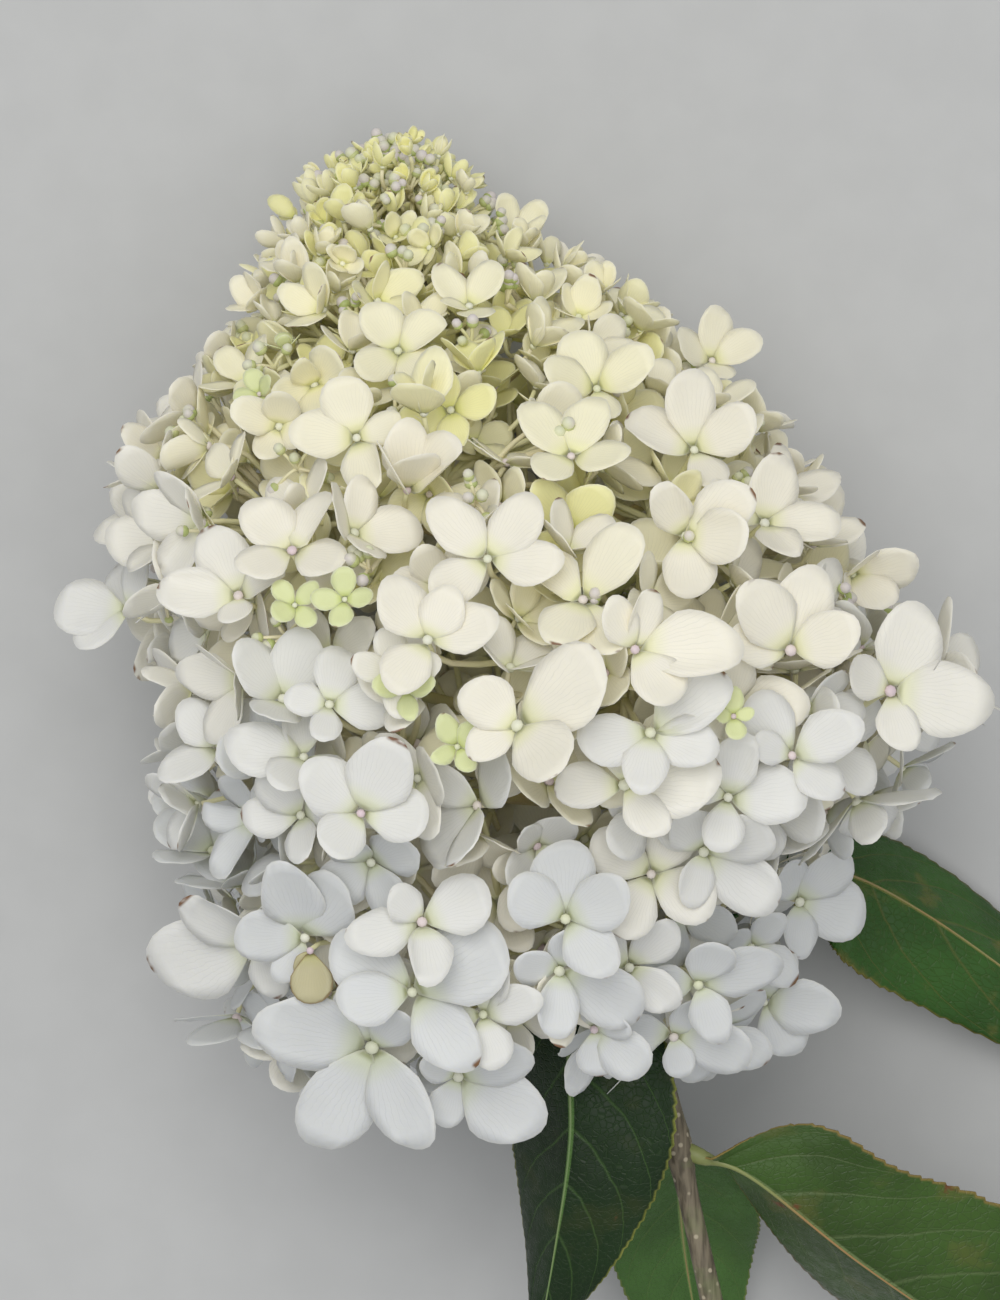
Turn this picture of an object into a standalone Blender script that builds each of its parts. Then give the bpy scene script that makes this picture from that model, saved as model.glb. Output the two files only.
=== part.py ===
"""A cut flowering stem of panicle hydrangea, lying on its side on a level surface.

The bloom is a cone of four-petalled florets in clusters, each cluster on a branch of the stem that runs
up through it. Two pairs of leaves stand on the stem below the bloom. Y runs from the cut end to the tip
of the bloom, Z is up, and the origin is at the bottom centre of the whole piece.
Sizes below are in millimetres, and meshes are made in metres.
"""

import math
import random

import bmesh
import bpy
import numpy as np
from mathutils import Matrix, Vector
from mathutils.bvhtree import BVHTree

MM = 0.001
SEED = 23
GOLDEN_ANGLE = math.pi * (3 - math.sqrt(5))
GAP = 0.3

# The bloom from tip to base: y, middle x, half width, height of its axis,
# half span of a floret there, and how far its petals are raised, in degrees
BLOOM = (
    (121, -27, 2, 40, 4.5, 66),
    (114, -26.5, 12, 40.5, 5.5, 62),
    (101, -25.5, 24, 44, 7.5, 56),
    (84, -16.5, 40, 51, 10.5, 48),
    (60, -10.5, 62, 60, 13.5, 40),
    (36, -5, 78, 68, 15.5, 35),
    (12, 3, 87, 74, 16.5, 31),
    (-12, 14.5, 91, 78, 17, 28),
    (-36, 7, 81, 79, 17, 26),
    (-58, -3, 67, 78, 17, 23),
    (-82, -2, 60, 77, 17.5, 20),
    (-95, -3, 45, 76, 17, 17),
    (-97, 5, 29, 76, 16, 17),
    (-89, 24, 14, 77, 13, 22),
)
BLOOM_STEPS = 261
DEPTH_SHARE = 0.95
PRESSED_HEIGHT = 3.0

# The stem from its cut end to the tip of the bloom: x, y, z, radius
STEM = (
    (62, -205, 63, 2.9),
    (52.5, -163, 68, 2.8),
    (45.5, -132, 71, 2.65),
    (43, -120, 72, 3.5),
    (40.5, -108, 73, 2.6),
    (34, -83, 76, 2.55),
    (31, -72, 77, 3.3),
    (28, -61, 77.5, 2.5),
    (21, -36, 78, 2.3),
    (11, 0, 75, 2.0),
    (0, 34, 68, 1.8),
    (-10, 64, 59, 1.5),
    (-19, 90, 49, 1.2),
    (-24, 106, 43.5, 0.9),
)
STEM_RINGS = 40

# Whorls of branches: y on the stem, row of BLOOM they point at, first angle in degrees
TIERS = (
    (-60, 10.4, 45),
    (-50, 9.7, 105),
    (-37, 7.7, 13),
    (-20, 6.3, 73),
    (2, 5.1, 43),
    (20, 4.5, 103),
    (58, 3.0, 15),
)
BRANCHES_PER_TIER = 3
DIRECT_TIERS = 1
CORE_AT = 0.62
CORE_SIZE = 0.12
TIP_CORE_AT = 0.42
TIP_CORE_RADIUS = 5.0
BOUGH_END = 0.33
BOUGH_RADIUS = (1.7, 1.25)
TWIG_RADIUS = 1.1

# Each cluster swells a little out of the cone, and reaches further where its core is larger
LOBE_RISE = 6.0
LOBE_SPAN = 46.0
CLUSTER_HOLD = 8.0

# Large florets that stand out of the cone: x, y, how far out, and half span
PROUD_FLORETS = ((-88, 13, 3, 15), (-54, -66, 2, 19), (-34, -98, 5, 23))
PROUD_LEAN = 0.7
PROUD_ROWS = 11

# Florets: how many times they cover the cone, and how they are stacked, varied and shaped
FLORET_COVER = 1.2
LAYERS = 3
LAYER_DROP = 0.32
SINK = 0.2
LAYER_REACH = 0.72
SIZE_SPREAD = 0.16
PLACE_SPREAD = 0.2
TILT_SPREAD = 0.3
RAISED_SPREAD = 7
PETAL_HALF_ANGLE = math.radians(33)
PETAL_SIDE = 0.82
NOTCH = 0.34
SHORT_PETAL = 0.88
PEDICEL_RADIUS = 0.85
ROOT_FLARE = 1.2
ROOT_DEPTH = 0.7
RIM_POINTS = 16
PEDICEL_SIDES = 3

# Size and drop of each try to fit a floret, and how near another one matters to it
NEAR = 90
TRIES = ((1.0, 0.0), (0.9, 2.5), (0.82, -3.0), (0.74, 5.0), (0.66, 1.0))

# Leaves: y of their root on the stem, the rest of the midrib to the tip, half width, lifts of the left
# and right half in degrees, where the blade starts along the midrib, and how far out it is the widest
LEAVES = {
    "leaf_front": {
        "root_y": -72,
        "midrib": ((17, -84, 92), (16.6, -116, 92), (13, -144, 82), (8, -176, 62)),
        "half_width": 27, "lift": (4, -52), "blade_from": 0.13, "fullness": 0.72,
    },
    "leaf_right": {
        "root_y": -120,
        "midrib": ((61, -127.5, 73), (88, -149.5, 63), (124, -175, 46), (184, -214, 14)),
        "half_width": 37, "lift": (8, -66), "blade_from": 0.05, "fullness": 1.6,
    },
    "leaf_under_bloom": {
        "root_y": -72,
        "midrib": ((49, -71, 47), (75, -55, 33), (108, -67, 26), (178, -119, 3)),
        "half_width": 25, "lift": (-54, 6), "blade_from": 0.27, "fullness": 1.6,
    },
    "leaf_behind_stem": {
        "root_y": -120,
        "midrib": ((44, -128, 48), (46, -148, 25), (50, -171, 10), (56, -198, 2.5)),
        "half_width": 21, "lift": (4, 9), "blade_from": 0.14, "fullness": 0.72,
    },
}
LEAF_THICKNESS = 1.45
LEAF_STEPS = 12
LEAF_ACROSS = 4
PETIOLE_RADIUS = 1.5
RIB_RADIUS = 0.75
RIB_LENGTH = 0.3
CURVE_STEPS = 101

# How solids are joined: the second where the first leaves no closed solid
SOLVERS = ("EXACT", "MANIFOLD")
SAME_POINT = 0.0002


def through(rows, count):
    """Rows of a smooth curve through the given rows, evenly spaced by row number."""
    rows = np.array(rows, float)
    padded = np.vstack([2 * rows[0] - rows[1], rows, 2 * rows[-1] - rows[-2]])
    places = np.linspace(0, len(rows) - 1 - 1e-9, count)
    first = places.astype(int)
    t = (places - first)[:, None]
    a, b, c, d = (padded[first + step] for step in range(4))
    return b + 0.5 * t * (c - a + t * (2 * a - 5 * b + 4 * c - d + t * (3 * (b - c) + d - a)))


BLOOM_ROWS = through(BLOOM, BLOOM_STEPS)
STEM_ROWS = through(STEM, 12 * len(STEM))


def bloom_row(place):
    """The bloom's sizes at a place given as a row number of BLOOM."""
    index = place / (len(BLOOM) - 1) * (BLOOM_STEPS - 1)
    return [float(np.interp(index, range(BLOOM_STEPS), BLOOM_ROWS[:, k])) for k in range(6)]


def bloom_point(place, angle):
    """A point on the cone that the florets cover."""
    y, x, half_width, height, _, _ = bloom_row(place)
    return Vector((
        x + half_width * math.cos(angle),
        y,
        height + DEPTH_SHARE * half_width * math.sin(angle),
    ))


def bloom_normal(place, angle):
    """The direction that faces out of the bloom."""
    step = 0.05
    low, high = max(place - step, 0), min(place + step, len(BLOOM) - 1)
    down = bloom_point(high, angle) - bloom_point(low, angle)
    round_it = bloom_point(place, angle + step) - bloom_point(place, angle - step)
    return round_it.cross(down).normalized()


def stem_at(y):
    """The stem's middle and radius where it passes this y."""
    x, height, radius = (float(np.interp(y, STEM_ROWS[:, 1], STEM_ROWS[:, k])) for k in (0, 2, 3))
    return Vector((x, y, height)), radius


def plan_branches():
    """One entry for each branch of the bloom, with the middle and size of its cluster."""
    branches = []
    for tier, (stem_y, row, first_angle) in enumerate(TIERS):
        for turn in range(BRANCHES_PER_TIER):
            angle = math.radians(first_angle + turn * 360 / BRANCHES_PER_TIER)
            origin, _ = stem_at(stem_y)
            aim = bloom_point(row, angle)
            aim.z = max(aim.z, PRESSED_HEIGHT)
            branches.append({
                "name": f"{tier + 1}{'abc'[turn]}",
                "origin": origin,
                "aim": aim,
                "core": origin.lerp(aim, CORE_AT),
                "core_radius": (aim - origin).length * CORE_SIZE,
                "direct": tier >= len(TIERS) - DIRECT_TIERS,
            })
    tip, _ = stem_at(STEM[-1][1])
    aim = bloom_point(0, 0)
    branches.append({
        "name": "tip",
        "origin": tip,
        "aim": aim,
        "core": tip.lerp(aim, TIP_CORE_AT),
        "core_radius": TIP_CORE_RADIUS,
        "direct": True,
    })
    return branches


def proud_floret(x, y, proud, reach, branches):
    """A large floret that stands out of the upper side of the bloom over this x and y."""
    heights, places = BLOOM_ROWS[:, 0], np.linspace(0, len(BLOOM) - 1, BLOOM_STEPS)
    falling = places <= PROUD_ROWS
    row = float(np.interp(-y, -heights[falling], places[falling]))
    _, middle, half_width = bloom_row(row)[:3]
    angle = math.acos(min(max((x - middle) / half_width, -1), 1))
    skin, out = bloom_point(row, angle), bloom_normal(row, angle)
    skin.x = x
    branch = min(branches, key=lambda b: (b["core"] - skin).length)
    return {
        "skin": skin,
        "place": skin + out * proud,
        "out": out,
        "facing": (out + Vector((0, 0, PROUD_LEAN))).normalized(),
        "reach": reach,
        "turn": math.pi / 4,
        "raised": math.radians(bloom_row(row)[5] / 2),
        "layer": 0,
        "branch": branch["name"],
    }


def plan_florets(branches):
    """Where each floret stands, which way it faces and how large and how open it is."""
    rows = BLOOM_ROWS
    step = np.linalg.norm(np.diff(rows[:, [0, 2]], axis=0), axis=1)
    middle = (rows[1:] + rows[:-1]) / 2
    room = 2 * math.pi * middle[:, 2] * step / (math.pi * middle[:, 4] ** 2)
    total = np.concatenate([[0], np.cumsum(room)])
    count = int(total[-1] * FLORET_COVER)
    florets = [proud_floret(*row, branches) for row in PROUD_FLORETS]
    for number in range(count):
        draw = random.Random(SEED * 1000 + number)
        index = np.interp((number + 0.5) / count * total[-1], total, range(len(total)))
        place = float(index) / (BLOOM_STEPS - 1) * (len(BLOOM) - 1)
        angle = number * GOLDEN_ANGLE
        size, raised = bloom_row(place)[4:6]
        reach = size * (1 + SIZE_SPREAD * draw.uniform(-1, 1))
        point, out = bloom_point(place, angle), bloom_normal(place, angle)
        point += PLACE_SPREAD * size * Vector([draw.uniform(-1, 1) for _ in range(3)])
        branch = min(branches, key=lambda b: (b["aim"] - point).length / (b["core_radius"] + CLUSTER_HOLD))
        off = (branch["aim"] - point).length / LOBE_SPAN
        point += out * LOBE_RISE * (1 - off * off)
        taken = {
            f["layer"] for f in florets
            if (f["skin"] - point).length < LAYER_REACH * (f["reach"] + reach)
        }
        layer = next((k for k in range(LAYERS) if k not in taken), draw.randrange(LAYERS))
        tilt = Vector([draw.gauss(0, TILT_SPREAD) for _ in range(3)])
        florets.append({
            "skin": point.copy(),
            "place": point - out * (SINK * reach + layer * LAYER_DROP * size),
            "out": out,
            "facing": (out + tilt).normalized(),
            "reach": reach,
            "turn": draw.uniform(0, math.pi / 2),
            "raised": math.radians(raised + draw.gauss(0, RAISED_SPREAD)),
            "layer": layer,
            "branch": branch["name"],
        })
    return florets


def frame_of(facing, turn):
    """Columns across, along and out of a floret or leaf that faces this way, turned about it."""
    helper = Vector((0, 0, 1)) if abs(facing.z) < 0.8 else Vector((1, 0, 0))
    across = facing.cross(helper).normalized()
    along = facing.cross(across)
    turned = across * math.cos(turn) + along * math.sin(turn)
    return np.array([turned, facing.cross(turned), facing]).T


def floret_faces():
    """Faces of one floret: a rim of four petals, a fan in front, and a back that runs into a pedicel."""
    rim = RIM_POINTS
    middle, throat, root = rim, rim + 1, rim + 1 + PEDICEL_SIDES
    faces = []
    for corner in range(rim):
        after = (corner + 1) % rim
        side = throat + (corner * PEDICEL_SIDES) // rim
        faces.append((corner, after, middle))
        faces.append((after, corner, side))
        if (after * PEDICEL_SIDES) // rim != (corner * PEDICEL_SIDES) // rim:
            faces.append((after, side, throat + ((after * PEDICEL_SIDES) // rim) % PEDICEL_SIDES))
    for corner in range(PEDICEL_SIDES):
        after = (corner + 1) % PEDICEL_SIDES
        faces.append((throat + after, throat + corner, root + corner))
        faces.append((throat + after, root + corner, root + after))
    faces.append((root, root + 2, root + 1))
    return faces


def floret_points(place, facing, reach, turn, raised, root):
    """Points of one floret, in millimetres, with its pedicel's root at the given point."""
    frame = frame_of(facing, turn)
    local = []
    for petal in range(4):
        length = reach * (1.0 if petal % 2 == 0 else SHORT_PETAL)
        middle = petal * math.pi / 2
        notch = (middle - math.pi / 4, NOTCH * reach, 0.9)
        sides = [(middle + lean * PETAL_HALF_ANGLE, PETAL_SIDE * length, 1.0) for lean in (-1, 1)]
        tip = (middle, length, 0.85)
        for angle, far, lift in (notch, sides[0], tip, sides[1]):
            rise = raised * lift
            flat = far * math.cos(rise)
            local.append((flat * math.cos(angle), flat * math.sin(angle), far * math.sin(rise)))
    local.append((0, 0, 0.08 * reach))
    back = 0.09 * reach + 0.5
    corners = [math.radians(15 + 120 * k) for k in range(PEDICEL_SIDES)]
    ring = [(PEDICEL_RADIUS * math.cos(a), PEDICEL_RADIUS * math.sin(a)) for a in corners]
    local += [(x, y, -back) for x, y in ring]
    points = np.array(local) @ frame.T + np.array(place)
    down = (Vector(root) - Vector(place)).normalized()
    lean = Vector(frame[:, 2]).rotation_difference(-down).to_matrix() @ Matrix(frame.tolist())
    at_root = [Vector(root) + lean @ Vector((ROOT_FLARE * x, ROOT_FLARE * y, 0)) for x, y in ring]
    return np.vstack([points, np.array(at_root)])


FLORET_FACES = floret_faces()


def clear_scene():
    for item in list(bpy.data.objects):
        bpy.data.objects.remove(item)


def material(name, colour, roughness):
    made = bpy.data.materials.new(name)
    made.use_nodes = True
    shader = made.node_tree.nodes["Principled BSDF"]
    shader.inputs["Base Color"].default_value = (*colour, 1)
    shader.inputs["Roughness"].default_value = roughness
    shader.inputs["Metallic"].default_value = 0
    return made


def add_object(name, data, finish):
    item = bpy.data.objects.new(name, data)
    bpy.context.scene.collection.objects.link(item)
    if finish:
        item.data.materials.clear()
        item.data.materials.append(finish)
    return item


def evaluated_mesh(item):
    bpy.context.view_layer.update()
    graph = bpy.context.evaluated_depsgraph_get()
    return bpy.data.meshes.new_from_object(item.evaluated_get(graph))


def tree_of(mesh):
    return BVHTree.FromPolygons([v.co for v in mesh.vertices], [p.vertices[:] for p in mesh.polygons])


def limb(name, points, radii, finish, resolution=1):
    """A tapering round limb through the points, with flat ends."""
    data = bpy.data.curves.new(name, "CURVE")
    data.dimensions = "3D"
    data.bevel_depth = MM
    data.bevel_resolution = resolution
    data.use_fill_caps = True
    spline = data.splines.new("POLY")
    spline.points.add(len(points) - 1)
    for corner, place, radius in zip(spline.points, points, radii):
        corner.co = (*(Vector(place) * MM), 1)
        corner.radius = radius
    return add_object(name, data, finish)


def make_stem(finish):
    rows = through(STEM, STEM_RINGS)
    return limb("stem", rows[:, :3], rows[:, 3], finish, resolution=2)


def clear_start(y, target, radius):
    """How far out from the stem's middle a limb that leaves it towards the target has its round end clear."""
    origin, stem_radius = stem_at(y)
    along, _ = stem_at(y + 1)
    lean = abs((target - origin).normalized().dot((along - origin).normalized()))
    return (stem_radius + GAP + radius * lean) / math.sqrt(1 - lean * lean)


def leaf_midrib(leaf):
    """Points along a leaf, from where its petiole is clear of the stem to its tip."""
    origin, _ = stem_at(leaf["root_y"])
    target = Vector(leaf["midrib"][0])
    root = origin + (target - origin).normalized() * clear_start(leaf["root_y"], target, PETIOLE_RADIUS)
    return through([root, *leaf["midrib"]], CURVE_STEPS)


def make_bough(branch, finish):
    """The bare length of a branch, from the stem to where it enters its cluster."""
    way = branch["core"] - branch["origin"]
    start = clear_start(branch["origin"].y, branch["core"], BOUGH_RADIUS[0])
    end = BOUGH_END * way.length
    places = [branch["origin"] + way.normalized() * d for d in (start, (start + end) / 2, end)]
    radii = (BOUGH_RADIUS[0], sum(BOUGH_RADIUS) / 2, BOUGH_RADIUS[1])
    return limb(f"bough_{branch['name']}", places, radii, finish)


def leaf_blade(curve, width, lifts, blade_from, fullness):
    """The blade as a grid along and across its midrib, in metres."""
    blade = bmesh.new()
    bmesh.ops.create_grid(blade, x_segments=LEAF_STEPS, y_segments=LEAF_ACROSS, size=1)
    for corner in blade.verts:
        along = (corner.co.x + 1) / 2
        across = corner.co.y
        station = blade_from + (1 - blade_from) * along
        point, side, up = midrib_frame(curve, station * (len(curve) - 1))
        half = width * leaf_outline(along, fullness)
        lift = math.radians(lifts[0] if across > 0 else lifts[1])
        sideways = side * across * math.cos(lift) * (1 - 0.12 * across * across)
        corner.co = MM * (point + half * (sideways + up * abs(across) * math.sin(lift)))
    return blade


def leaf_outline(along, fullness):
    """Half the blade's width as a share of its greatest, from the round base to the drawn-out tip."""
    rise = math.sin(math.pi * min(along, 1) ** fullness)
    taper = 1 - 0.25 * along
    return max(rise * taper / 0.86, 0.045)


def midrib_frame(curve, place):
    """Point, left side and up side of a leaf at a place on its midrib."""
    place = min(max(place, 1), len(curve) - 2)
    low = int(place)
    share = place - low
    here = curve[low] * (1 - share) + curve[min(low + 1, len(curve) - 1)] * share
    way = Vector(curve[min(low + 1, len(curve) - 1)] - curve[low - 1]).normalized()
    side = Vector((0, 0, 1)).cross(way).normalized()
    return Vector(here), side, way.cross(side)


def make_leaf(name, leaf, finish):
    """A thin blade with its petiole fused on."""
    mesh = bpy.data.meshes.new(name)
    curve = leaf_midrib(leaf)
    blade = leaf_blade(curve, leaf["half_width"], leaf["lift"], leaf["blade_from"], leaf["fullness"])
    bmesh.ops.recalc_face_normals(blade, faces=blade.faces)
    blade.to_mesh(mesh)
    blade.free()
    item = add_object(name, mesh, finish)
    shell = item.modifiers.new("thickness", "SOLIDIFY")
    shell.thickness = LEAF_THICKNESS * MM
    shell.offset = 0
    shares = np.linspace(0, leaf["blade_from"] + RIB_LENGTH, 6)
    ribs = [curve[round((len(curve) - 1) * share)] for share in shares]
    radii = np.linspace(PETIOLE_RADIUS, RIB_RADIUS, len(ribs))
    petiole = limb(f"{name}_petiole", ribs, radii, None)
    return fuse(item, [petiole])


def is_closed(mesh):
    """Whether the mesh is one closed surface, with every edge between two faces."""
    shape = bmesh.new()
    shape.from_mesh(mesh)
    bmesh.ops.remove_doubles(shape, verts=shape.verts, dist=SAME_POINT * MM)
    closed = bool(shape.faces) and all(edge.is_manifold for edge in shape.edges)
    shape.free()
    return closed


def fuse(base, others):
    """Joins the others to the base by one Boolean union, and leaves one mesh object."""
    parts = bpy.data.collections.new(f"{base.name}_parts")
    bpy.context.scene.collection.children.link(parts)
    for other in others:
        if other.type == "CURVE":
            mesh = evaluated_mesh(other)
            solid = bpy.data.objects.new(other.name + "_mesh", mesh)
            bpy.data.objects.remove(other)
            other = solid
        else:
            bpy.context.scene.collection.objects.unlink(other)
        weld = bmesh.new()
        weld.from_mesh(other.data)
        bmesh.ops.remove_doubles(weld, verts=weld.verts, dist=1e-6)
        weld.to_mesh(other.data)
        weld.free()
        parts.objects.link(other)
    join = base.modifiers.new("join", "BOOLEAN")
    join.operation = "UNION"
    join.operand_type = "COLLECTION"
    join.collection = parts
    for solver in SOLVERS:
        join.solver = solver
        joined = evaluated_mesh(base)
        if is_closed(joined):
            break
    finish = base.data.materials[0]
    base.modifiers.clear()
    base.data = joined
    joined.materials.clear()
    joined.materials.append(finish)
    for other in list(parts.objects):
        bpy.data.objects.remove(other)
    bpy.data.collections.remove(parts)
    return base


def make_core(branch, finish):
    """The tangle of short stalks at the middle of a cluster, as one round solid."""
    core = bmesh.new()
    bmesh.ops.create_icosphere(core, subdivisions=2, radius=branch["core_radius"] * MM)
    bmesh.ops.translate(core, verts=core.verts, vec=branch["core"] * MM)
    mesh = bpy.data.meshes.new(f"cluster_{branch['name']}")
    core.to_mesh(mesh)
    core.free()
    return add_object(f"cluster_{branch['name']}", mesh, finish)


def make_twig(branch):
    """The cluster's own stem, from just clear of its bough or of the main stem into its core."""
    way = (branch["core"] - branch["origin"]).normalized()
    if branch["name"] == "tip":
        start = GAP
    elif branch["direct"]:
        start = clear_start(branch["origin"].y, branch["core"], TWIG_RADIUS)
    else:
        start = BOUGH_END * (branch["core"] - branch["origin"]).length + GAP
    places = [branch["origin"] + way * start, branch["core"]]
    return limb(f"twig_{branch['name']}", places, (TWIG_RADIUS, TWIG_RADIUS), None)


def on_table(points):
    """The points, lifted where they would be under the surface that the stem lies on."""
    return points + np.array((0, 0, max(0.0, -points[:, 2].min())))


def floret_tries(floret, branch):
    """The floret's points, then those of smaller and deeper ones that may fit where it doesn't."""
    for size, drop in TRIES:
        place = floret["place"] - floret["out"] * drop
        pedicel = place - branch["core"]
        root = branch["core"] + pedicel.normalized() * branch["core_radius"] * ROOT_DEPTH
        points = floret_points(
            place, floret["facing"], floret["reach"] * size, floret["turn"], floret["raised"], root
        )
        lifted = on_table(points)
        lifted[-PEDICEL_SIDES:] = points[-PEDICEL_SIDES:]
        yield lifted


def place_florets(branches, florets, limbs, hubs):
    """Points of every floret that touches no limb and no other floret, by branch."""
    by_name = {branch["name"]: branch for branch in branches}
    placed = {branch["name"]: [] for branch in branches}
    standing = []
    for floret in florets:
        near = sorted(branches, key=lambda b: (b["core"] - floret["place"]).length - b["core_radius"])
        owners = [by_name[floret["branch"]]] + [b for b in near[:2] if b["name"] != floret["branch"]]
        done = False
        for owner in owners:
            for points in floret_tries(floret, owner):
                tree = BVHTree.FromPolygons(points.tolist(), FLORET_FACES)
                middle = Vector(points[:RIM_POINTS].mean(axis=0))
                if any(tree.overlap(other) for other in limbs):
                    continue
                if any(tree.overlap(hub) for name, hub in hubs if name != owner["name"]):
                    continue
                if any(
                    tree.overlap(other)
                    for name, other, place in standing
                    if name != owner["name"] and (place - middle).length < NEAR
                ):
                    continue
                placed[owner["name"]].append(points)
                standing.append((owner["name"], tree, middle))
                done = True
                break
            if done:
                break
    return placed


def make_cluster(branch, placed, finish):
    """One cluster: its core and twig with the florets fused on."""
    core = make_core(branch, finish)
    others = [make_twig(branch)]
    for number, points in enumerate(placed):
        mesh = bpy.data.meshes.new("floret")
        mesh.from_pydata((points * MM).tolist(), [], FLORET_FACES)
        others.append(add_object(f"floret_{branch['name']}_{number}", mesh, None))
    return fuse(core, others)


def millimetre_tree(item):
    """A search tree of the object's shape, in millimetres."""
    mesh = evaluated_mesh(item)
    mesh.transform(Matrix.Scale(1 / MM, 4))
    return tree_of(mesh)


def sit_at_origin(items):
    """Hangs every piece on one empty, so that the whole stands over its bottom centre."""
    holder = bpy.data.objects.new("cut_stem", None)
    bpy.context.scene.collection.objects.link(holder)
    corners = []
    for item in items:
        corners += [v.co.copy() for v in evaluated_mesh(item).vertices]
    low = [min(c[k] for c in corners) for k in range(3)]
    high = [max(c[k] for c in corners) for k in range(3)]
    holder.location = (-(low[0] + high[0]) / 2, -(low[1] + high[1]) / 2, -low[2])
    for item in items:
        item.parent = holder
    return holder


def main():
    clear_scene()
    bark = material("stem bark", (0.17, 0.13, 0.07), 0.7)
    stalk = material("bloom stalks", (0.62, 0.62, 0.33), 0.6)
    petal = material("petals", (0.86, 0.86, 0.78), 0.5)
    green = material("leaf blade", (0.06, 0.14, 0.04), 0.45)
    branches = plan_branches()
    items = [make_stem(bark)]
    items += [make_bough(branch, stalk) for branch in branches if not branch["direct"]]
    items += [make_leaf(name, leaf, green) for name, leaf in LEAVES.items()]
    limbs = [millimetre_tree(item) for item in items]
    hubs = []
    for branch in branches:
        for item in (make_core(branch, petal), make_twig(branch)):
            hubs.append((branch["name"], millimetre_tree(item)))
            bpy.data.objects.remove(item)
    placed = place_florets(branches, plan_florets(branches), limbs, hubs)
    items += [make_cluster(branch, placed[branch["name"]], petal) for branch in branches]
    sit_at_origin(items)


main()
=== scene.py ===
"""A cut stem of panicle hydrangea that lies on its side, seen from above.

The bloom, its branches and the leaves follow the same plan as the solids that they stand for.
Sizes in that plan are in millimetres, and meshes are made in metres.
"""

import math
import random

import bmesh
import bpy
import numpy as np
from mathutils import Matrix, Vector
from mathutils.bvhtree import BVHTree


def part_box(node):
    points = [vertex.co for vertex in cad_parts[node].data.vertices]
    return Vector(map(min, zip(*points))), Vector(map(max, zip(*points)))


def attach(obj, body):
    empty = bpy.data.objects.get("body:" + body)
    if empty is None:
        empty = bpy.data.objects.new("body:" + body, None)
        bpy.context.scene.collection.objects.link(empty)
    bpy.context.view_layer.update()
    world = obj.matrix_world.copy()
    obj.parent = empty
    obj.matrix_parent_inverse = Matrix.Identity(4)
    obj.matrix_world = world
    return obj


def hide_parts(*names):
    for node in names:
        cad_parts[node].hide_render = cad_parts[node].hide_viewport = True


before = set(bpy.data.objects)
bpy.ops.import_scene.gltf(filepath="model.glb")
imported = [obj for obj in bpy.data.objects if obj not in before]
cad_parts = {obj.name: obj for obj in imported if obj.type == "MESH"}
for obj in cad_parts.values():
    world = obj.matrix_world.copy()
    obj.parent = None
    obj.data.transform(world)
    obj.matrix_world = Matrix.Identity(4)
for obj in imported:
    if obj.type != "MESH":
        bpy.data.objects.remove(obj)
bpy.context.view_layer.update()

MM = 0.001
SEED = 23
GOLDEN_ANGLE = math.pi * (3 - math.sqrt(5))
GAP = 0.3

# The bloom from tip to base: y, middle x, half width, height of its axis,
# half span of a floret there, and how far its petals are raised, in degrees
BLOOM = (
    (121, -27, 2, 40, 4.5, 66),
    (114, -26.5, 12, 40.5, 5.5, 62),
    (101, -25.5, 24, 44, 7.5, 56),
    (84, -16.5, 40, 51, 10.5, 48),
    (60, -10.5, 62, 60, 13.5, 40),
    (36, -5, 78, 68, 15.5, 35),
    (12, 3, 87, 74, 16.5, 31),
    (-12, 14.5, 91, 78, 17, 28),
    (-36, 7, 81, 79, 17, 26),
    (-58, -3, 67, 78, 17, 23),
    (-82, -2, 60, 77, 17.5, 20),
    (-95, -3, 45, 76, 17, 17),
    (-97, 5, 29, 76, 16, 17),
    (-89, 24, 14, 77, 13, 22),
)
BLOOM_STEPS = 261
DEPTH_SHARE = 0.95
PRESSED_HEIGHT = 3.0

# The stem from its cut end to the tip of the bloom: x, y, z, radius
STEM = (
    (62, -205, 63, 2.9),
    (52.5, -163, 68, 2.8),
    (45.5, -132, 71, 2.65),
    (43, -120, 72, 3.5),
    (40.5, -108, 73, 2.6),
    (34, -83, 76, 2.55),
    (31, -72, 77, 3.3),
    (28, -61, 77.5, 2.5),
    (21, -36, 78, 2.3),
    (11, 0, 75, 2.0),
    (0, 34, 68, 1.8),
    (-10, 64, 59, 1.5),
    (-19, 90, 49, 1.2),
    (-24, 106, 43.5, 0.9),
)
STEM_RINGS = 40

# Whorls of branches: y on the stem, row of BLOOM they point at, first angle in degrees
TIERS = (
    (-60, 10.4, 45),
    (-50, 9.7, 105),
    (-37, 7.7, 13),
    (-20, 6.3, 73),
    (2, 5.1, 43),
    (20, 4.5, 103),
    (58, 3.0, 15),
)
BRANCHES_PER_TIER = 3
DIRECT_TIERS = 1
CORE_AT = 0.62
CORE_SIZE = 0.12
TIP_CORE_AT = 0.42
TIP_CORE_RADIUS = 5.0
LOBE_RISE = 6.0
LOBE_SPAN = 46.0
CLUSTER_HOLD = 8.0

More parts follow.
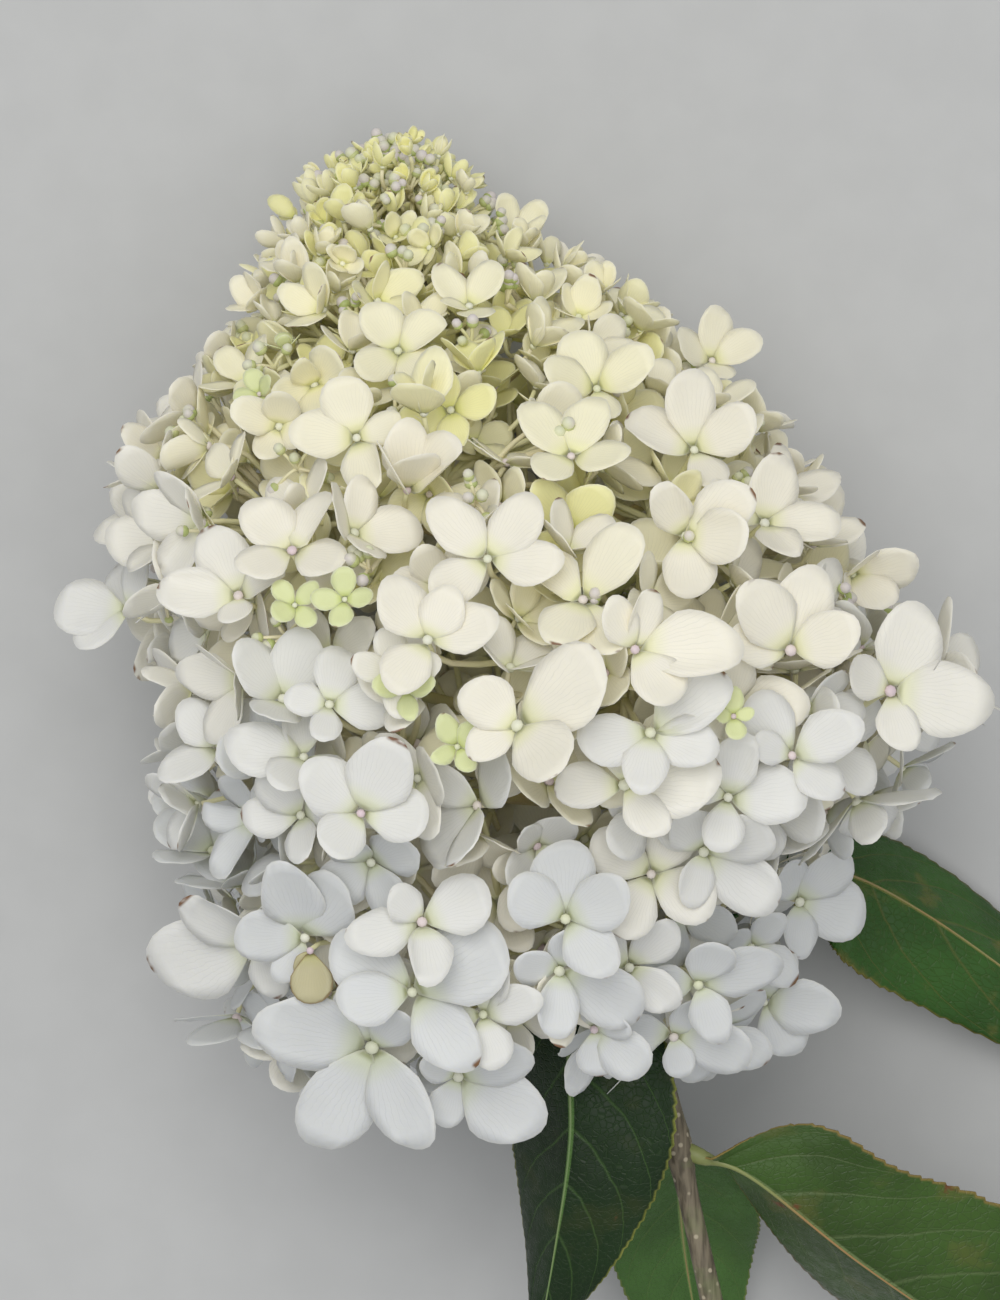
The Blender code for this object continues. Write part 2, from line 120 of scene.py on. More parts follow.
# Leaves: y of their root on the stem, the rest of the midrib to the tip, half width, lifts of the left
# and right half in degrees, where the blade starts along the midrib, and how far out it is the widest
LEAVES = {
    "leaf_front": {
        "root_y": -72,
        "midrib": ((17, -84, 92), (16.6, -116, 92), (13, -144, 82), (8, -176, 62)),
        "half_width": 27, "lift": (4, -52), "blade_from": 0.13, "fullness": 0.72,
    },
    "leaf_right": {
        "root_y": -120,
        "midrib": ((61, -127.5, 73), (88, -149.5, 63), (124, -175, 46), (184, -214, 14)),
        "half_width": 37, "lift": (8, -66), "blade_from": 0.05, "fullness": 1.6,
    },
    "leaf_under_bloom": {
        "root_y": -72,
        "midrib": ((49, -71, 47), (75, -55, 33), (108, -67, 26), (178, -119, 3)),
        "half_width": 25, "lift": (-54, 6), "blade_from": 0.27, "fullness": 1.6,
    },
    "leaf_behind_stem": {
        "root_y": -120,
        "midrib": ((44, -128, 48), (46, -148, 25), (50, -171, 10), (56, -198, 2.5)),
        "half_width": 21, "lift": (4, 9), "blade_from": 0.14, "fullness": 0.72,
    },
}
PETIOLE_RADIUS = 1.5
CURVE_STEPS = 101

# Florets that stand where the eye finds them first, on the upper side of the bloom. Each has the x and y of
# its heart, the length of its petals, how far it leans to the right and to the tip of the bloom, how far it
# stands out, and the directions of its petals in degrees, with a share of the length after a slash
FIRST_FLORETS = (
    (-3, 21.5, 17.5, 0.0, 0.45, 2, "52/1 133/1 -8/.95 -140/.9"),
    (44.4, 27.3, 17, 0.1, 0.1, 1, "125/.95 35/1.1 -5/1 -88/.9"),
    (-17.3, 2, 16, 0.0, 0.5, 1, "128/1 12/1 -125/.9 60/.8"),
    (20, 11.6, 18, -0.1, 0.6, 1, "50/1.1 140/.9 -70/1 -115/.9"),
    (4.5, -18.5, 21, -0.35, 0.3, 3, "30/1.15 -46/1 -150/.6 140/.7"),
    (36, -20, 18.5, 0.05, 0.2, 1, "38/1.1 -168/.9 -15/.8 -100/.8"),
    (32, 0, 19, 0.3, 0.1, 2, "2/1.2 -58/.8 78/.7 125/.7"),
    (17, 46, 16, 0.1, 0.85, 1, "135/1 68/1 -20/.9 -130/.8"),
    (-7.4, 82, 12.5, 0.05, 0.95, 1, "135/1 50/1 -75/1 -150/.7"),
    (-24.5, 71.5, 13, 0.05, 0.3, 0, "120/1 35/1 -50/1 -140/1"),
    (-34.3, 50.7, 14.5, -0.1, 0.25, 1, "105/1 178/1.05 -72/1 15/.8"),
    (-49.8, 23.3, 15.5, -0.15, 0.8, 1, "128/1 58/1 -30/.9 -145/.9"),
    (-62.5, 12.7, 16.5, -0.3, 0.4, 0, "112/1.05 178/1.1 20/.8 -90/.6"),
    (-88.9, 9.2, 16.5, -0.75, 0.6, 3, "112/1 60/.9 170/1.1 -150/.9"),
    (-85, 29.6, 13, -0.6, 0.6, 0, "110/1 175/1 30/.8 -90/.7"),
    (-76.6, 51.4, 10.5, -0.6, 0.6, 0, "100/1 180/1 20/.8 -80/.7"),
    (-25.2, -5.6, 10.5, 0.0, 0.2, 1, "100/1 170/1 10/1 -80/1"),
    (-41, -13.3, 14, 0.1, 0.3, 1, "80/1 0/1 170/.7 -100/.8"),
    (-47, -26, 16, -0.1, 0.4, 1, "100/.8 168/1.1 -45/.9 -120/.8"),
    (-33.3, -39.2, 16.5, 0.0, 0.1, 3, "140/1 62/1.15 -3/.95 -128/.85"),
    (29.7, -32.5, 18, 0.1, 0.15, 1, "5/1.15 -55/.8 -178/.85 95/.8"),
    (15.7, -64.6, 17, 0.0, 0.1, 2, "92/1.05 25/1 -50/.95 150/.9"),
    (-18.7, -65.4, 15.5, 0.0, 0.2, 1, "135/.7 22/1.1 -165/1.1 -82/1"),
    (-21, -82.2, 21, -0.05, 0.15, 2, "148/1 28/1.15 -52/1 -172/.8"),
    (-4.1, -87.4, 14, 0.05, 0.0, 0, "-168/1 20/1.05 -75/.9 75/1"),
    (-30.5, -94.8, 24, -0.2, -0.45, 6, "166/1.1 -118/1.15 -58/1.05 55/.65 110/.7"),
    (-10.2, -102.1, 20, 0.2, -0.3, 2, "-35/1.1 25/.9 -110/.6 150/.5"),
    (-46.6, -68.9, 20, -0.3, -0.3, 2, "98/1.1 60/1 -120/.6 178/.8"),
    (-58, -70, 22, -0.4, -0.4, 2, "-160/1.2 140/.9 60/.7 -60/.6"),
    (93.3, -10, 20.5, 0.3, 0.15, 3, "70/1 -6/1.15 -80/.7 160/.65"),
    (69.6, -0.3, 18, 0.1, 0.2, 2, "75/1.05 130/1.05 170/.8 14/.95"),
    (69.9, -25.5, 16, 0.2, 0.25, 1, "125/1 26/1.1 -38/.85 170/.7"),
    (54.6, -35.4, 15.5, 0.1, 0.1, 1, "3/1.1 80/1 -100/.8 160/.7"),
    (48.7, -48.2, 18, 0.25, -0.3, 2, "-38/1.15 30/1 120/.8 -110/.7"),
    (71.4, -60.2, 16.5, 0.6, -0.3, 1, "-20/1.1 50/1 120/.9 -100/.8"),
    (36.3, -54, 16, 0.05, 0.1, 0, "60/1 150/1 -120/1 -30/1"),
    (47.4, -80, 18, 0.2, -0.4, 2, "8/1.1 75/.8 175/.8 -70/.8"),
    (63, -84.1, 15.5, 0.4, -0.4, 1, "-8/1.15 70/.9 -60/1 180/.8"),
    (23.2, 62.3, 14.5, 0.1, 0.5, 1, "115/1 20/1.1 175/1 -80/.8"),
    (50.7, 69, 13.5, 0.4, 0.6, 1, "95/1 20/1 170/.9 -80/.7"),
    (46.5, 47.6, 17, 0.2, 0.5, 1, "100/1.1 20/1 160/1 -70/.8"),
    (63, 30, 16, 0.5, 0.4, 0, "85/1 0/1.1 160/1 -80/.9"),
    (3.6, 99.6, 10.5, 0.2, 0.7, 0, "120/1 40/1 -60/.8 -150/.8"),
    (41.5, -92.4, 17, 0.2, -0.6, 0, "-15/1.1 60/.7 170/.9 -80/.6"),
    (14.2, -76.8, 19, 0.1, -0.5, 1, "-33/1.15 -98/.8 75/.6 160/.6"),
    (22.6, -91, 14, 0.1, -0.45, 0, "-38/1.1 -85/.8 100/.6 20/.7"),
    (60, -71, 13.5, 0.3, -0.35, 0, "-40/1 -110/.9 50/.8 140/.7"),
)

# Small lime-green florets that open late, given in the same way
LIME_FLORETS = (
    (-10.3, -23.3, 8, 0.1, 0.1, 2, "120/1 40/1 -60/.8 -150/.9"),
    (-22.8, -9.6, 7.5, 0, 0.2, 2, "100/1 10/1 -80/1 170/1"),
    (-37.2, 12, 7.5, -0.1, 0.3, 3, "90/1 0/.9 -100/1 180/1"),
    (-49.2, 10.6, 7, -0.1, 0.3, 3, "130/1 40/1 -50/1 -140/1"),
    (-57.6, 61.2, 6.5, -0.2, 0.5, 2, "110/1 20/1 -70/1 -160/1"),
    (56, -16, 6, 0.1, 0.2, 1, "95/1.1 10/.8 -85/1 175/.8"),
)

# Petals that have wilted, given in the same way
WILTED_FLORETS = (
    (-45.5, -72, 12, -0.1, -0.2, 4, "-85/1 -120/.5"),
)
FIRST_ROWS = 11
NEAR_FIRST = 0.75
STEP_BACK = 5.0

# Layers of florets: how many times each covers the cone, how deep it lies as a share of a floret's
# reach, how large its florets are, how unevenly they face, how far they lean to the tip, and its last row
SHELLS = (
    {"cover": 2.1, "sink": 0.3, "size": 0.95, "tilt": 0.42, "lean": 0.3, "last": 12.5},
    {"cover": 0.5, "sink": 0.4, "size": 0.9, "tilt": 0.45, "lean": 0.3, "last": 3.2},
    {"cover": 2.4, "sink": 0.55, "size": 0.92, "tilt": 0.4, "lean": 0.2, "last": 12.5},
    {"cover": 1.7, "sink": 0.95, "size": 1.0, "tilt": 0.3, "lean": 0.2, "last": 12.0},
)
SIZE_SPREAD = 0.16
PLACE_SPREAD = 0.2
LOOSE_ROWS = 3.5
LOOSE_RISE = (-0.6, 1.1)
LOOSE_SHARE = 0.62
TIP_GROWTH = 0.3
RAISED_SPREAD = 9
FITTING_TRIES = 12
FIT_DEPTHS = (0.0, 1.5, -1.0, 3.0, -1.5, 4.5, 1.0, 2.2, 5.5, 7.0, 4.0, 8.5)
NAMED_RISES = (0.0, 1.5, -1.5, 3.0, -3.0, 4.5)
MOST_CROSSED = 8
NEAR_REACH = 2.2
PRESS_GAP = 0.25

# Petals: a round sheet of quads, drawn in to a claw at its foot. A longer petal has more quads across.
PETAL_SEGMENTS = ((9.5, 4), (16.5, 5), (99, 6))
FOLD_AT = 0.16
FLAT_FROM = 14.0
FLAT_SHARE = 0.5
PETAL_WIDTH = 0.76
CLAW_WIDTH = 0.45
SHOULDER = 0.4
PETAL_THICKNESS = 0.26
PAIR_STEP = 0.03
PAIR_LENGTHS = (1.0, 0.9)
FOLDED_SHARE = 0.12
FIVE_PETALS_SHARE = 0.06
FIVE_PETALS_FROM = 4
YOUNG_UNTIL = 3.6

# Petal tones from the tip of the bloom down, each with the row of BLOOM where it is the most common
TONES = {
    "young_yellow": ((0.97, 0.93, 0.42), 0.4),
    "soft_yellow": ((0.98, 0.93, 0.55), 1.9),
    "cream": ((0.97, 0.915, 0.62), 3.2),
    "pale_cream": ((0.955, 0.9, 0.67), 4.6),
    "ivory": ((0.93, 0.88, 0.72), 6.0),
    "pale_ivory": ((0.905, 0.875, 0.765), 7.4),
    # The two lowest whites are real white tones, darkened and greyed as painted shade for the lower end of the
    # bloom, which gets less light
    "warm_white_painted_shade": ((0.81, 0.805, 0.755), 8.9),
    "cool_white_painted_shade": ((0.7, 0.715, 0.705), 10.8),
}
LIME = (0.74, 0.8, 0.38)
WILTED = (0.5, 0.45, 0.25)
TONE_SPREAD = 0.75
SIDE_PALENESS = 2.2
# Deeper florets take warmer tones from nearer the tip: a painted glow of light that passes through and bounces
# between the petals
PAINTED_INNER_GLOW = 3.0
LIME_SHARE = 0.035
LIME_ROWS = (2.0, 8.0)
LIME_SIZE = 0.5

STALK_SIDES = 6
PEDICEL_RADIUS = (0.62, 0.85)
BRANCHLET_RADIUS = (0.95, 1.3)
TWIG_RADIUS = (1.25, 1.7)
FLORETS_PER_BRANCHLET = 4


def through(rows, count):
    """Rows of a smooth curve through the given rows, evenly spaced by row number."""
    rows = np.array(rows, float)
    padded = np.vstack([2 * rows[0] - rows[1], rows, 2 * rows[-1] - rows[-2]])
    places = np.linspace(0, len(rows) - 1 - 1e-9, count)
    first = places.astype(int)
    t = (places - first)[:, None]
    a, b, c, d = (padded[first + step] for step in range(4))
    return b + 0.5 * t * (c - a + t * (2 * a - 5 * b + 4 * c - d + t * (3 * (b - c) + d - a)))


BLOOM_ROWS = through(BLOOM, BLOOM_STEPS)
STEM_ROWS = through(STEM, 12 * len(STEM))


def bloom_row(place):
    """The bloom's sizes at a place given as a row number of BLOOM."""
    index = place / (len(BLOOM) - 1) * (BLOOM_STEPS - 1)
    return [float(np.interp(index, range(BLOOM_STEPS), BLOOM_ROWS[:, k])) for k in range(6)]


def bloom_point(place, angle):
    """A point on the cone that the florets cover."""
    y, x, half_width, height, _, _ = bloom_row(place)
    return Vector((
        x + half_width * math.cos(angle),
        y,
        height + DEPTH_SHARE * half_width * math.sin(angle),
    ))


def bloom_normal(place, angle):
    """The direction that faces out of the bloom."""
    step = 0.05
    low, high = max(place - step, 0), min(place + step, len(BLOOM) - 1)
    down = bloom_point(high, angle) - bloom_point(low, angle)
    round_it = bloom_point(place, angle + step) - bloom_point(place, angle - step)
    return round_it.cross(down).normalized()


def stem_at(y):
    """The stem's middle and radius where it passes this y."""
    x, height, radius = (float(np.interp(y, STEM_ROWS[:, 1], STEM_ROWS[:, k])) for k in (0, 2, 3))
    return Vector((x, y, height)), radius


def plan_branches():
    """One entry for each branch of the bloom, with the middle and size of its cluster."""
    branches = []
    for tier, (stem_y, row, first_angle) in enumerate(TIERS):
        for turn in range(BRANCHES_PER_TIER):
            angle = math.radians(first_angle + turn * 360 / BRANCHES_PER_TIER)
            origin, _ = stem_at(stem_y)
            aim = bloom_point(row, angle)
            aim.z = max(aim.z, PRESSED_HEIGHT)
            branches.append({
                "name": f"{tier + 1}{'abc'[turn]}",
                "origin": origin,
                "aim": aim,
                "core": origin.lerp(aim, CORE_AT),
                "core_radius": (aim - origin).length * CORE_SIZE,
                "direct": tier >= len(TIERS) - DIRECT_TIERS,
            })
    tip, _ = stem_at(STEM[-1][1])
    aim = bloom_point(0, 0)
    branches.append({
        "name": "tip",
        "origin": tip,
        "aim": aim,
        "core": tip.lerp(aim, TIP_CORE_AT),
        "core_radius": TIP_CORE_RADIUS,
        "direct": True,
    })
    return branches


def tone_for(row, out, inner, draw):
    """A petal tone for a floret at this row of the bloom, warmer where the florets above shade it, as a painted
    glow of light that passes through and between the petals.
    """
    row += draw.gauss(0, TONE_SPREAD) + SIDE_PALENESS * out.x ** 2 - PAINTED_INNER_GLOW * inner
    return min(TONES, key=lambda name: abs(TONES[name][1] - row))


def seen_place(x, y, proud):
    """The row, place and outward direction of what the camera sees at this x and y on the bloom's upper side."""
    heights, places = BLOOM_ROWS[:, 0], np.linspace(0, len(BLOOM) - 1, BLOOM_STEPS)
    falling = places <= FIRST_ROWS
    place = Vector((x, y, 0))
    high = 78.0
    for _ in range(4):
        nearer = (CAMERA_HEIGHT / MM - high) / (CAMERA_HEIGHT / MM - BLOOM_MIDDLE / MM)
        row = float(np.interp(-y * nearer, -heights[falling], places[falling]))
        _, middle, half_width = bloom_row(row)[:3]
        angle = math.acos(min(max((x * nearer - middle) / half_width, -1), 1))
        skin, out = bloom_point(row, angle), bloom_normal(row, angle)
        place = Vector((x * nearer, y * nearer, skin.z + LOBE_RISE / 2)) + Vector((0, 0, out.z)) * proud
        high = place.z
    return row, place, out


def plan_first(branches):
    """The florets that stand where the eye finds them first."""
    florets = []
    kinds = [(row, None) for row in FIRST_FLORETS]
    kinds += [(row, "lime") for row in LIME_FLORETS] + [(row, "wilted") for row in WILTED_FLORETS]
    for number, ((x, y, reach, lean_x, lean_y, proud, petals), kind) in enumerate(kinds):
        draw = random.Random(SEED * 500 + number)
        row, place, out = seen_place(x, y, proud)
        parts = [entry.split("/") for entry in petals.split()]
        branch = min(branches, key=lambda b: (b["core"] - place).length)
        florets.append({
            "place": place,
            "row": row,
            "out": out,
            "facing": Vector((lean_x, lean_y, 1)).normalized(),
            "petal_plan": [(math.radians(float(turn)), float(share)) for turn, share in parts],
            "reach": reach,
            "raised": math.radians(bloom_row(row)[5] * 0.55),
            "tone": kind or tone_for(row, out, 0, draw),
            "branch": branch["name"],
            "draw": draw,
        })
    return florets


def plan_shell(branches, shell, number_from, first):
    """One layer of florets: where each stands, which way it faces and how large and open it is."""
    rows = BLOOM_ROWS
    step = np.linalg.norm(np.diff(rows[:, [0, 2]], axis=0), axis=1)
    middle = (rows[1:] + rows[:-1]) / 2
    room = 2 * math.pi * middle[:, 2] * step / (math.pi * (middle[:, 4] * shell["size"]) ** 2)
    total = np.concatenate([[0], np.cumsum(room)])
    count = int(total[-1] * shell["cover"])
    florets = []
    for number in range(count):
        draw = random.Random(SEED * 1000 + number_from + number)
        index = np.interp((number + 0.5) / count * total[-1], total, range(len(total)))
        row = float(index) / (BLOOM_STEPS - 1) * (len(BLOOM) - 1)
        if row > shell["last"]:
            break
        angle = (number_from + number) * GOLDEN_ANGLE
        size, raised = bloom_row(row)[4:6]
        lime = draw.random() < LIME_SHARE and LIME_ROWS[0] < row < LIME_ROWS[1] and shell["sink"] < 0.5
        reach = size * shell["size"] * (LIME_SIZE if lime else 1) * (1 + SIZE_SPREAD * draw.uniform(-1, 1))
        reach *= 1 + TIP_GROWTH * max(0.0, 1 - row / LOOSE_ROWS)
        point, out = bloom_point(row, angle), bloom_normal(row, angle)
        point += PLACE_SPREAD * size * Vector([draw.uniform(-1, 1) for _ in range(3)])
        branch = min(branches, key=lambda b: (b["aim"] - point).length / (b["core_radius"] + CLUSTER_HOLD))
        off = (branch["aim"] - point).length / LOBE_SPAN
        point += out * LOBE_RISE * (1 - off * off)
        loose = max(0.0, 1 - row / LOOSE_ROWS) * draw.uniform(*LOOSE_RISE)
        if draw.random() < LOOSE_SHARE * max(0.0, 1 - row / LOOSE_ROWS):
            continue
        place = point - out * (shell["sink"] - loose) * reach
        outer = shell["sink"] < 0.5
        nearest = min((place - f["place"]).length / f["reach"] for f in first)
        if outer and nearest < NEAR_FIRST:
            continue
        place -= out * STEP_BACK * max(0.0, 1 - nearest / 1.7)
        place.z = max(place.z, PRESSED_HEIGHT)
        florets.append({
            "place": place,
            "row": row,
            "out": (out + Vector((0, shell["lean"], 0))).normalized(),
            "tilt": shell["tilt"],
            "reach": reach,
            "raised": math.radians(raised + draw.gauss(0, RAISED_SPREAD)),
            "tone": "lime" if lime else tone_for(row, out, 0 if outer else 1, draw),
            "branch": branch["name"],
            "draw": draw,
        })
    return florets


class Sheet:
    """A round petal of two layers with a radius of 1, and what is known of each of its points and faces."""

    def __init__(self, segments):
        shape = bmesh.new()
        bmesh.ops.create_grid(shape, x_segments=segments, y_segments=segments, size=1)
        for corner in shape.verts:
            x, y = corner.co.x, corner.co.y
            corner.co = (x * math.sqrt(1 - y * y / 2), y * math.sqrt(1 - x * x / 2), 0)
        bmesh.ops.solidify(shape, geom=shape.faces[:], thickness=0.1)
        bmesh.ops.recalc_face_normals(shape, faces=shape.faces)
        points = np.array([v.co for v in shape.verts])
        self.faces = [[v.index for v in face.verts] for face in shape.faces]
        shape.free()
        self.across, self.along = points[:, 0], points[:, 1]
        self.edge = np.hypot(self.across, self.along)
        self.turn = np.arctan2(self.along, self.across)
        self.layer = np.where(points[:, 2] > points[:, 2].mean(), 1.0, -1.0)
        self.rims = [abs(sum(self.layer[corner] for corner in face)) < len(face) for face in self.faces]
        self.front = [face for face in self.faces if all(self.layer[corner] > 0 for corner in face)]


SHEETS = [(longest, Sheet(segments)) for longest, segments in PETAL_SEGMENTS]


def petal_points(sheet, width, cup, crease, curl, wave, twist, fold):
    """A petal of length 1 along +Y with its hollow side up, and its flat places for its pattern."""
    uneven = 1 + 0.05 * sheet.edge ** 2 * np.sin(3 * sheet.turn + wave[1])
    across, along = sheet.across * uneven, np.clip((sheet.along * uneven + 1) / 2, 0, None)
    shoulder = CLAW_WIDTH + (1 - CLAW_WIDTH) * np.clip(along / SHOULDER, 0, 1) ** 0.8
    x = across * width / 2 * shoulder
    flat = np.stack([x + 0.5, along], 1)
    z = cup * (x * x * 1.6 + 0.12 * np.sin(math.pi * along) * -1)
    z += crease * np.abs(x) * (1.2 - along)
    z += curl * np.clip(along - 0.5, 0, 1) ** 2
    z += wave[0] * np.sin(2.6 * math.pi * across + wave[1]) * along ** 2 * np.abs(across)
    z += twist * x * along
    past = np.clip(x * np.sign(fold or 1) - FOLD_AT, 0, None)
    x = x - np.sign(fold or 1) * past * (1 - math.cos(fold))
    z = z + past * math.sin(abs(fold))
    return np.stack([x, along, z], 1), flat


def frame_of(facing, turn):
    """Columns across, along and out of a floret that faces this way, turned about it from the right."""
    along = facing.cross(Vector((1, 0, 0)) if abs(facing.x) < 0.9 else Vector((0, -1, 0))).normalized()
    across = along.cross(facing)
    turned = across * math.cos(turn) + along * math.sin(turn)
    return np.array([turned, facing.cross(turned), facing]).T


def floret_petals(floret):
    """The petals of one floret before it is placed: their points and their flat places."""
    draw = floret["draw"]
    young = max(0.0, min(1.0, (YOUNG_UNTIL - floret["row"]) / 2))
    bent = FLAT_SHARE if floret["reach"] >= FLAT_FROM else 1.0
    plan = floret.get("petal_plan")
    if plan is None:
        count = 5 if draw.random() < FIVE_PETALS_SHARE and floret["row"] > FIVE_PETALS_FROM else 4
        plan = [
            (2 * math.pi * k / count + draw.gauss(0, 0.12), PAIR_LENGTHS[k % 2] * draw.uniform(0.86, 1.08))
            for k in range(count)
        ]
    petals = []
    broad = PETAL_WIDTH * (0.88 if len(plan) == 5 else 1)
    sheet = next(sheet for longest, sheet in SHEETS if floret["reach"] < longest)
    floret["sheet"] = sheet
    for number, (turn, share) in enumerate(plan):
        inner = number % 2
        folded = draw.random() < FOLDED_SHARE
        points, flat = petal_points(
            sheet,
            width=broad * draw.uniform(0.86, 1.12) * (1 - 0.2 * young),
            cup=bent * draw.uniform(0.02, 0.24) + 0.6 * young,
            crease=bent * draw.uniform(0.0, 0.2),
            curl=bent * draw.uniform(-0.06, 0.24) + 0.3 * young,
            wave=(draw.uniform(0.0, 0.05), draw.uniform(0, 6.3)),
            twist=draw.gauss(0, 0.12),
            fold=draw.choice((-1, 1)) * draw.uniform(0.5, 1.3) if folded else 0.0,
        )
        length = floret["reach"] * share
        raised = floret["raised"] + draw.gauss(0, math.radians(9)) + math.radians(4) * inner
        points = points * length + np.array((0, 0.05 * length, PAIR_STEP * length * inner))
        points[:, 2] += sheet.layer * PETAL_THICKNESS / 2 * (1 - 0.6 * sheet.edge ** 2)
        rise = Matrix.Rotation(raised, 3, "X")
        spin = Matrix.Rotation(turn - math.pi / 2, 3, "Z")
        petals.append((points @ np.array(spin @ rise).T, flat))
    return petals


def place_petals(sheet, petals, place, facing, turn):
    """The petals' points where the floret stands, flattened where it presses on the surface below."""
    axes = frame_of(facing, turn)
    moved = []
    for points, flat in petals:
        points = points @ axes.T + np.array(place)
        low = PRESS_GAP + 0.02 * np.abs(points[:, 2]) + 0.1 * sheet.layer
        points[:, 2] = np.maximum(points[:, 2], low)
        moved.append((points, flat))
    return moved


def petal_tree(sheet, petals):
    """A search tree of a floret's petals."""
    step = len(sheet.edge)
    points = np.vstack([points for points, _ in petals]).tolist()
    faces = [[corner + step * k for corner in face] for k in range(len(petals)) for face in sheet.front]
    return BVHTree.FromPolygons(points, faces)


def fit_florets(florets, obstacles):
    """Turns and tilts each floret in turn so that it crosses the ones before it as little as it can."""
    standing, kept = [], []
    for floret in florets:
        draw = floret["draw"]
        petals = floret_petals(floret)
        named = "facing" in floret
        best = None
        for attempt in range(len(NAMED_RISES) if named else FITTING_TRIES):
            if named:
                facing, turn = floret["facing"], 0.0
                place = floret["place"] + Vector((0, 0, NAMED_RISES[attempt]))
            else:
                tilt = Vector([draw.gauss(0, floret["tilt"]) for _ in range(3)])
                facing = (floret["out"] + tilt).normalized()
                place = floret["place"] - floret["out"] * FIT_DEPTHS[attempt]
                turn = draw.uniform(0, math.pi / 2)
            place.z = max(place.z, PRESSED_HEIGHT)
            moved = place_petals(floret["sheet"], petals, place, facing, turn)
            tree = petal_tree(floret["sheet"], moved)
            crossed = sum(
                len(tree.overlap(other)) for other, middle, reach in standing
                if (middle - place).length < NEAR_REACH / 2 * (reach + floret["reach"])
            )
            crossed += 3 * sum(len(tree.overlap(other)) for other in obstacles)
            if best is None or crossed < best[0]:
                best = (crossed, place, facing, moved, tree)
            if crossed == 0:
                break
        crossed, place, facing, moved, tree = best
        if crossed > MOST_CROSSED and not named:
            continue
        floret.update(place=place, facing=facing, petals=moved)
        standing.append((tree, place, floret["reach"]))
        kept.append(floret)
    return kept


class Heap:
    """Collects many small shapes, in millimetres, into one mesh."""

    def __init__(self):
        self.points = []
        self.faces = []
        self.flat = []
        self.edge = []
        self.hard = []
        self.count = 0

    def add(self, points, faces, flat=None, edge=None, hard=None):
        self.points.append(points)
        self.faces += [[corner + self.count for corner in face] for face in faces]
        self.hard += hard or [False] * len(faces)
        self.count += len(points)
        if flat is not None:
            self.flat.append(flat)
            self.edge.append(edge)

    def piece(self, name, shift, finish):
        mesh = bpy.data.meshes.new(name)
        points = (np.vstack(self.points) + np.array(shift)) * MM
        mesh.from_pydata(points.tolist(), [], self.faces)
        if self.flat:
            corners = np.empty(len(mesh.loops), np.int32)
            mesh.loops.foreach_get("vertex_index", corners)
            places = mesh.uv_layers.new(name="pattern")
            places.data.foreach_set("uv", np.vstack(self.flat)[corners].ravel())
            edge = mesh.attributes.new("edge", "FLOAT", "POINT")
            edge.data.foreach_set("value", np.concatenate(self.edge))
        mesh.polygons.foreach_set("use_smooth", [not hard for hard in self.hard])
        mesh.materials.append(finish)
        item = bpy.data.objects.new(name, mesh)
        bpy.context.scene.collection.objects.link(item)
        return item


TUBE_SHEETS = {}


def tube_sheet(sides, rings):
    """A closed cylinder with rings along it: each point's angle and ring number, and the faces."""
    if (sides, rings) not in TUBE_SHEETS:
        shape = bmesh.new()
        bmesh.ops.create_cone(shape, cap_ends=True, segments=sides, radius1=1, radius2=1, depth=1)
        upright = [edge for edge in shape.edges if abs(edge.verts[0].co.z - edge.verts[1].co.z) > 0.5]
        bmesh.ops.subdivide_edges(shape, edges=upright, cuts=rings - 2)
        points = np.array([v.co for v in shape.verts])
        faces = [[v.index for v in face.verts] for face in shape.faces]
        shape.free()
        angles = np.arctan2(points[:, 1], points[:, 0])
        TUBE_SHEETS[sides, rings] = angles, np.rint((points[:, 2] + 0.5) * (rings - 1)).astype(int), faces
    return TUBE_SHEETS[sides, rings]


def tube(path, radii, sides=STALK_SIDES):
    """Points and faces of a closed round tube along the path."""
    path, radii = np.array(path, float), np.array(radii, float)
    angles, ring, faces = tube_sheet(sides, len(path))
    along = np.gradient(path, axis=0)
    along /= np.linalg.norm(along, axis=1)[:, None]
    first = np.cross(along, np.array((0.31, 0.17, 0.93)))
    first /= np.linalg.norm(first, axis=1)[:, None]
    second = np.cross(along, first)
    out = first[ring] * np.cos(angles)[:, None] + second[ring] * np.sin(angles)[:, None]
    return path[ring] + out * radii[ring][:, None], faces


def bow(start, bend, end, steps):
    """Points of a curve from start to end that leaves towards the bend."""
    t = np.linspace(0, 1, steps)[:, None]
    return (1 - t) ** 2 * np.array(start) + 2 * t * (1 - t) * np.array(bend) + t ** 2 * np.array(end)


def ball(segments, rings):
    """Points and faces of a ball with a radius of 1."""
    shape = bmesh.new()
    bmesh.ops.create_uvsphere(shape, u_segments=segments, v_segments=rings, radius=1)
    points = np.array([v.co for v in shape.verts])
    faces = [[v.index for v in face.verts] for face in shape.faces]
    shape.free()
    return points, faces


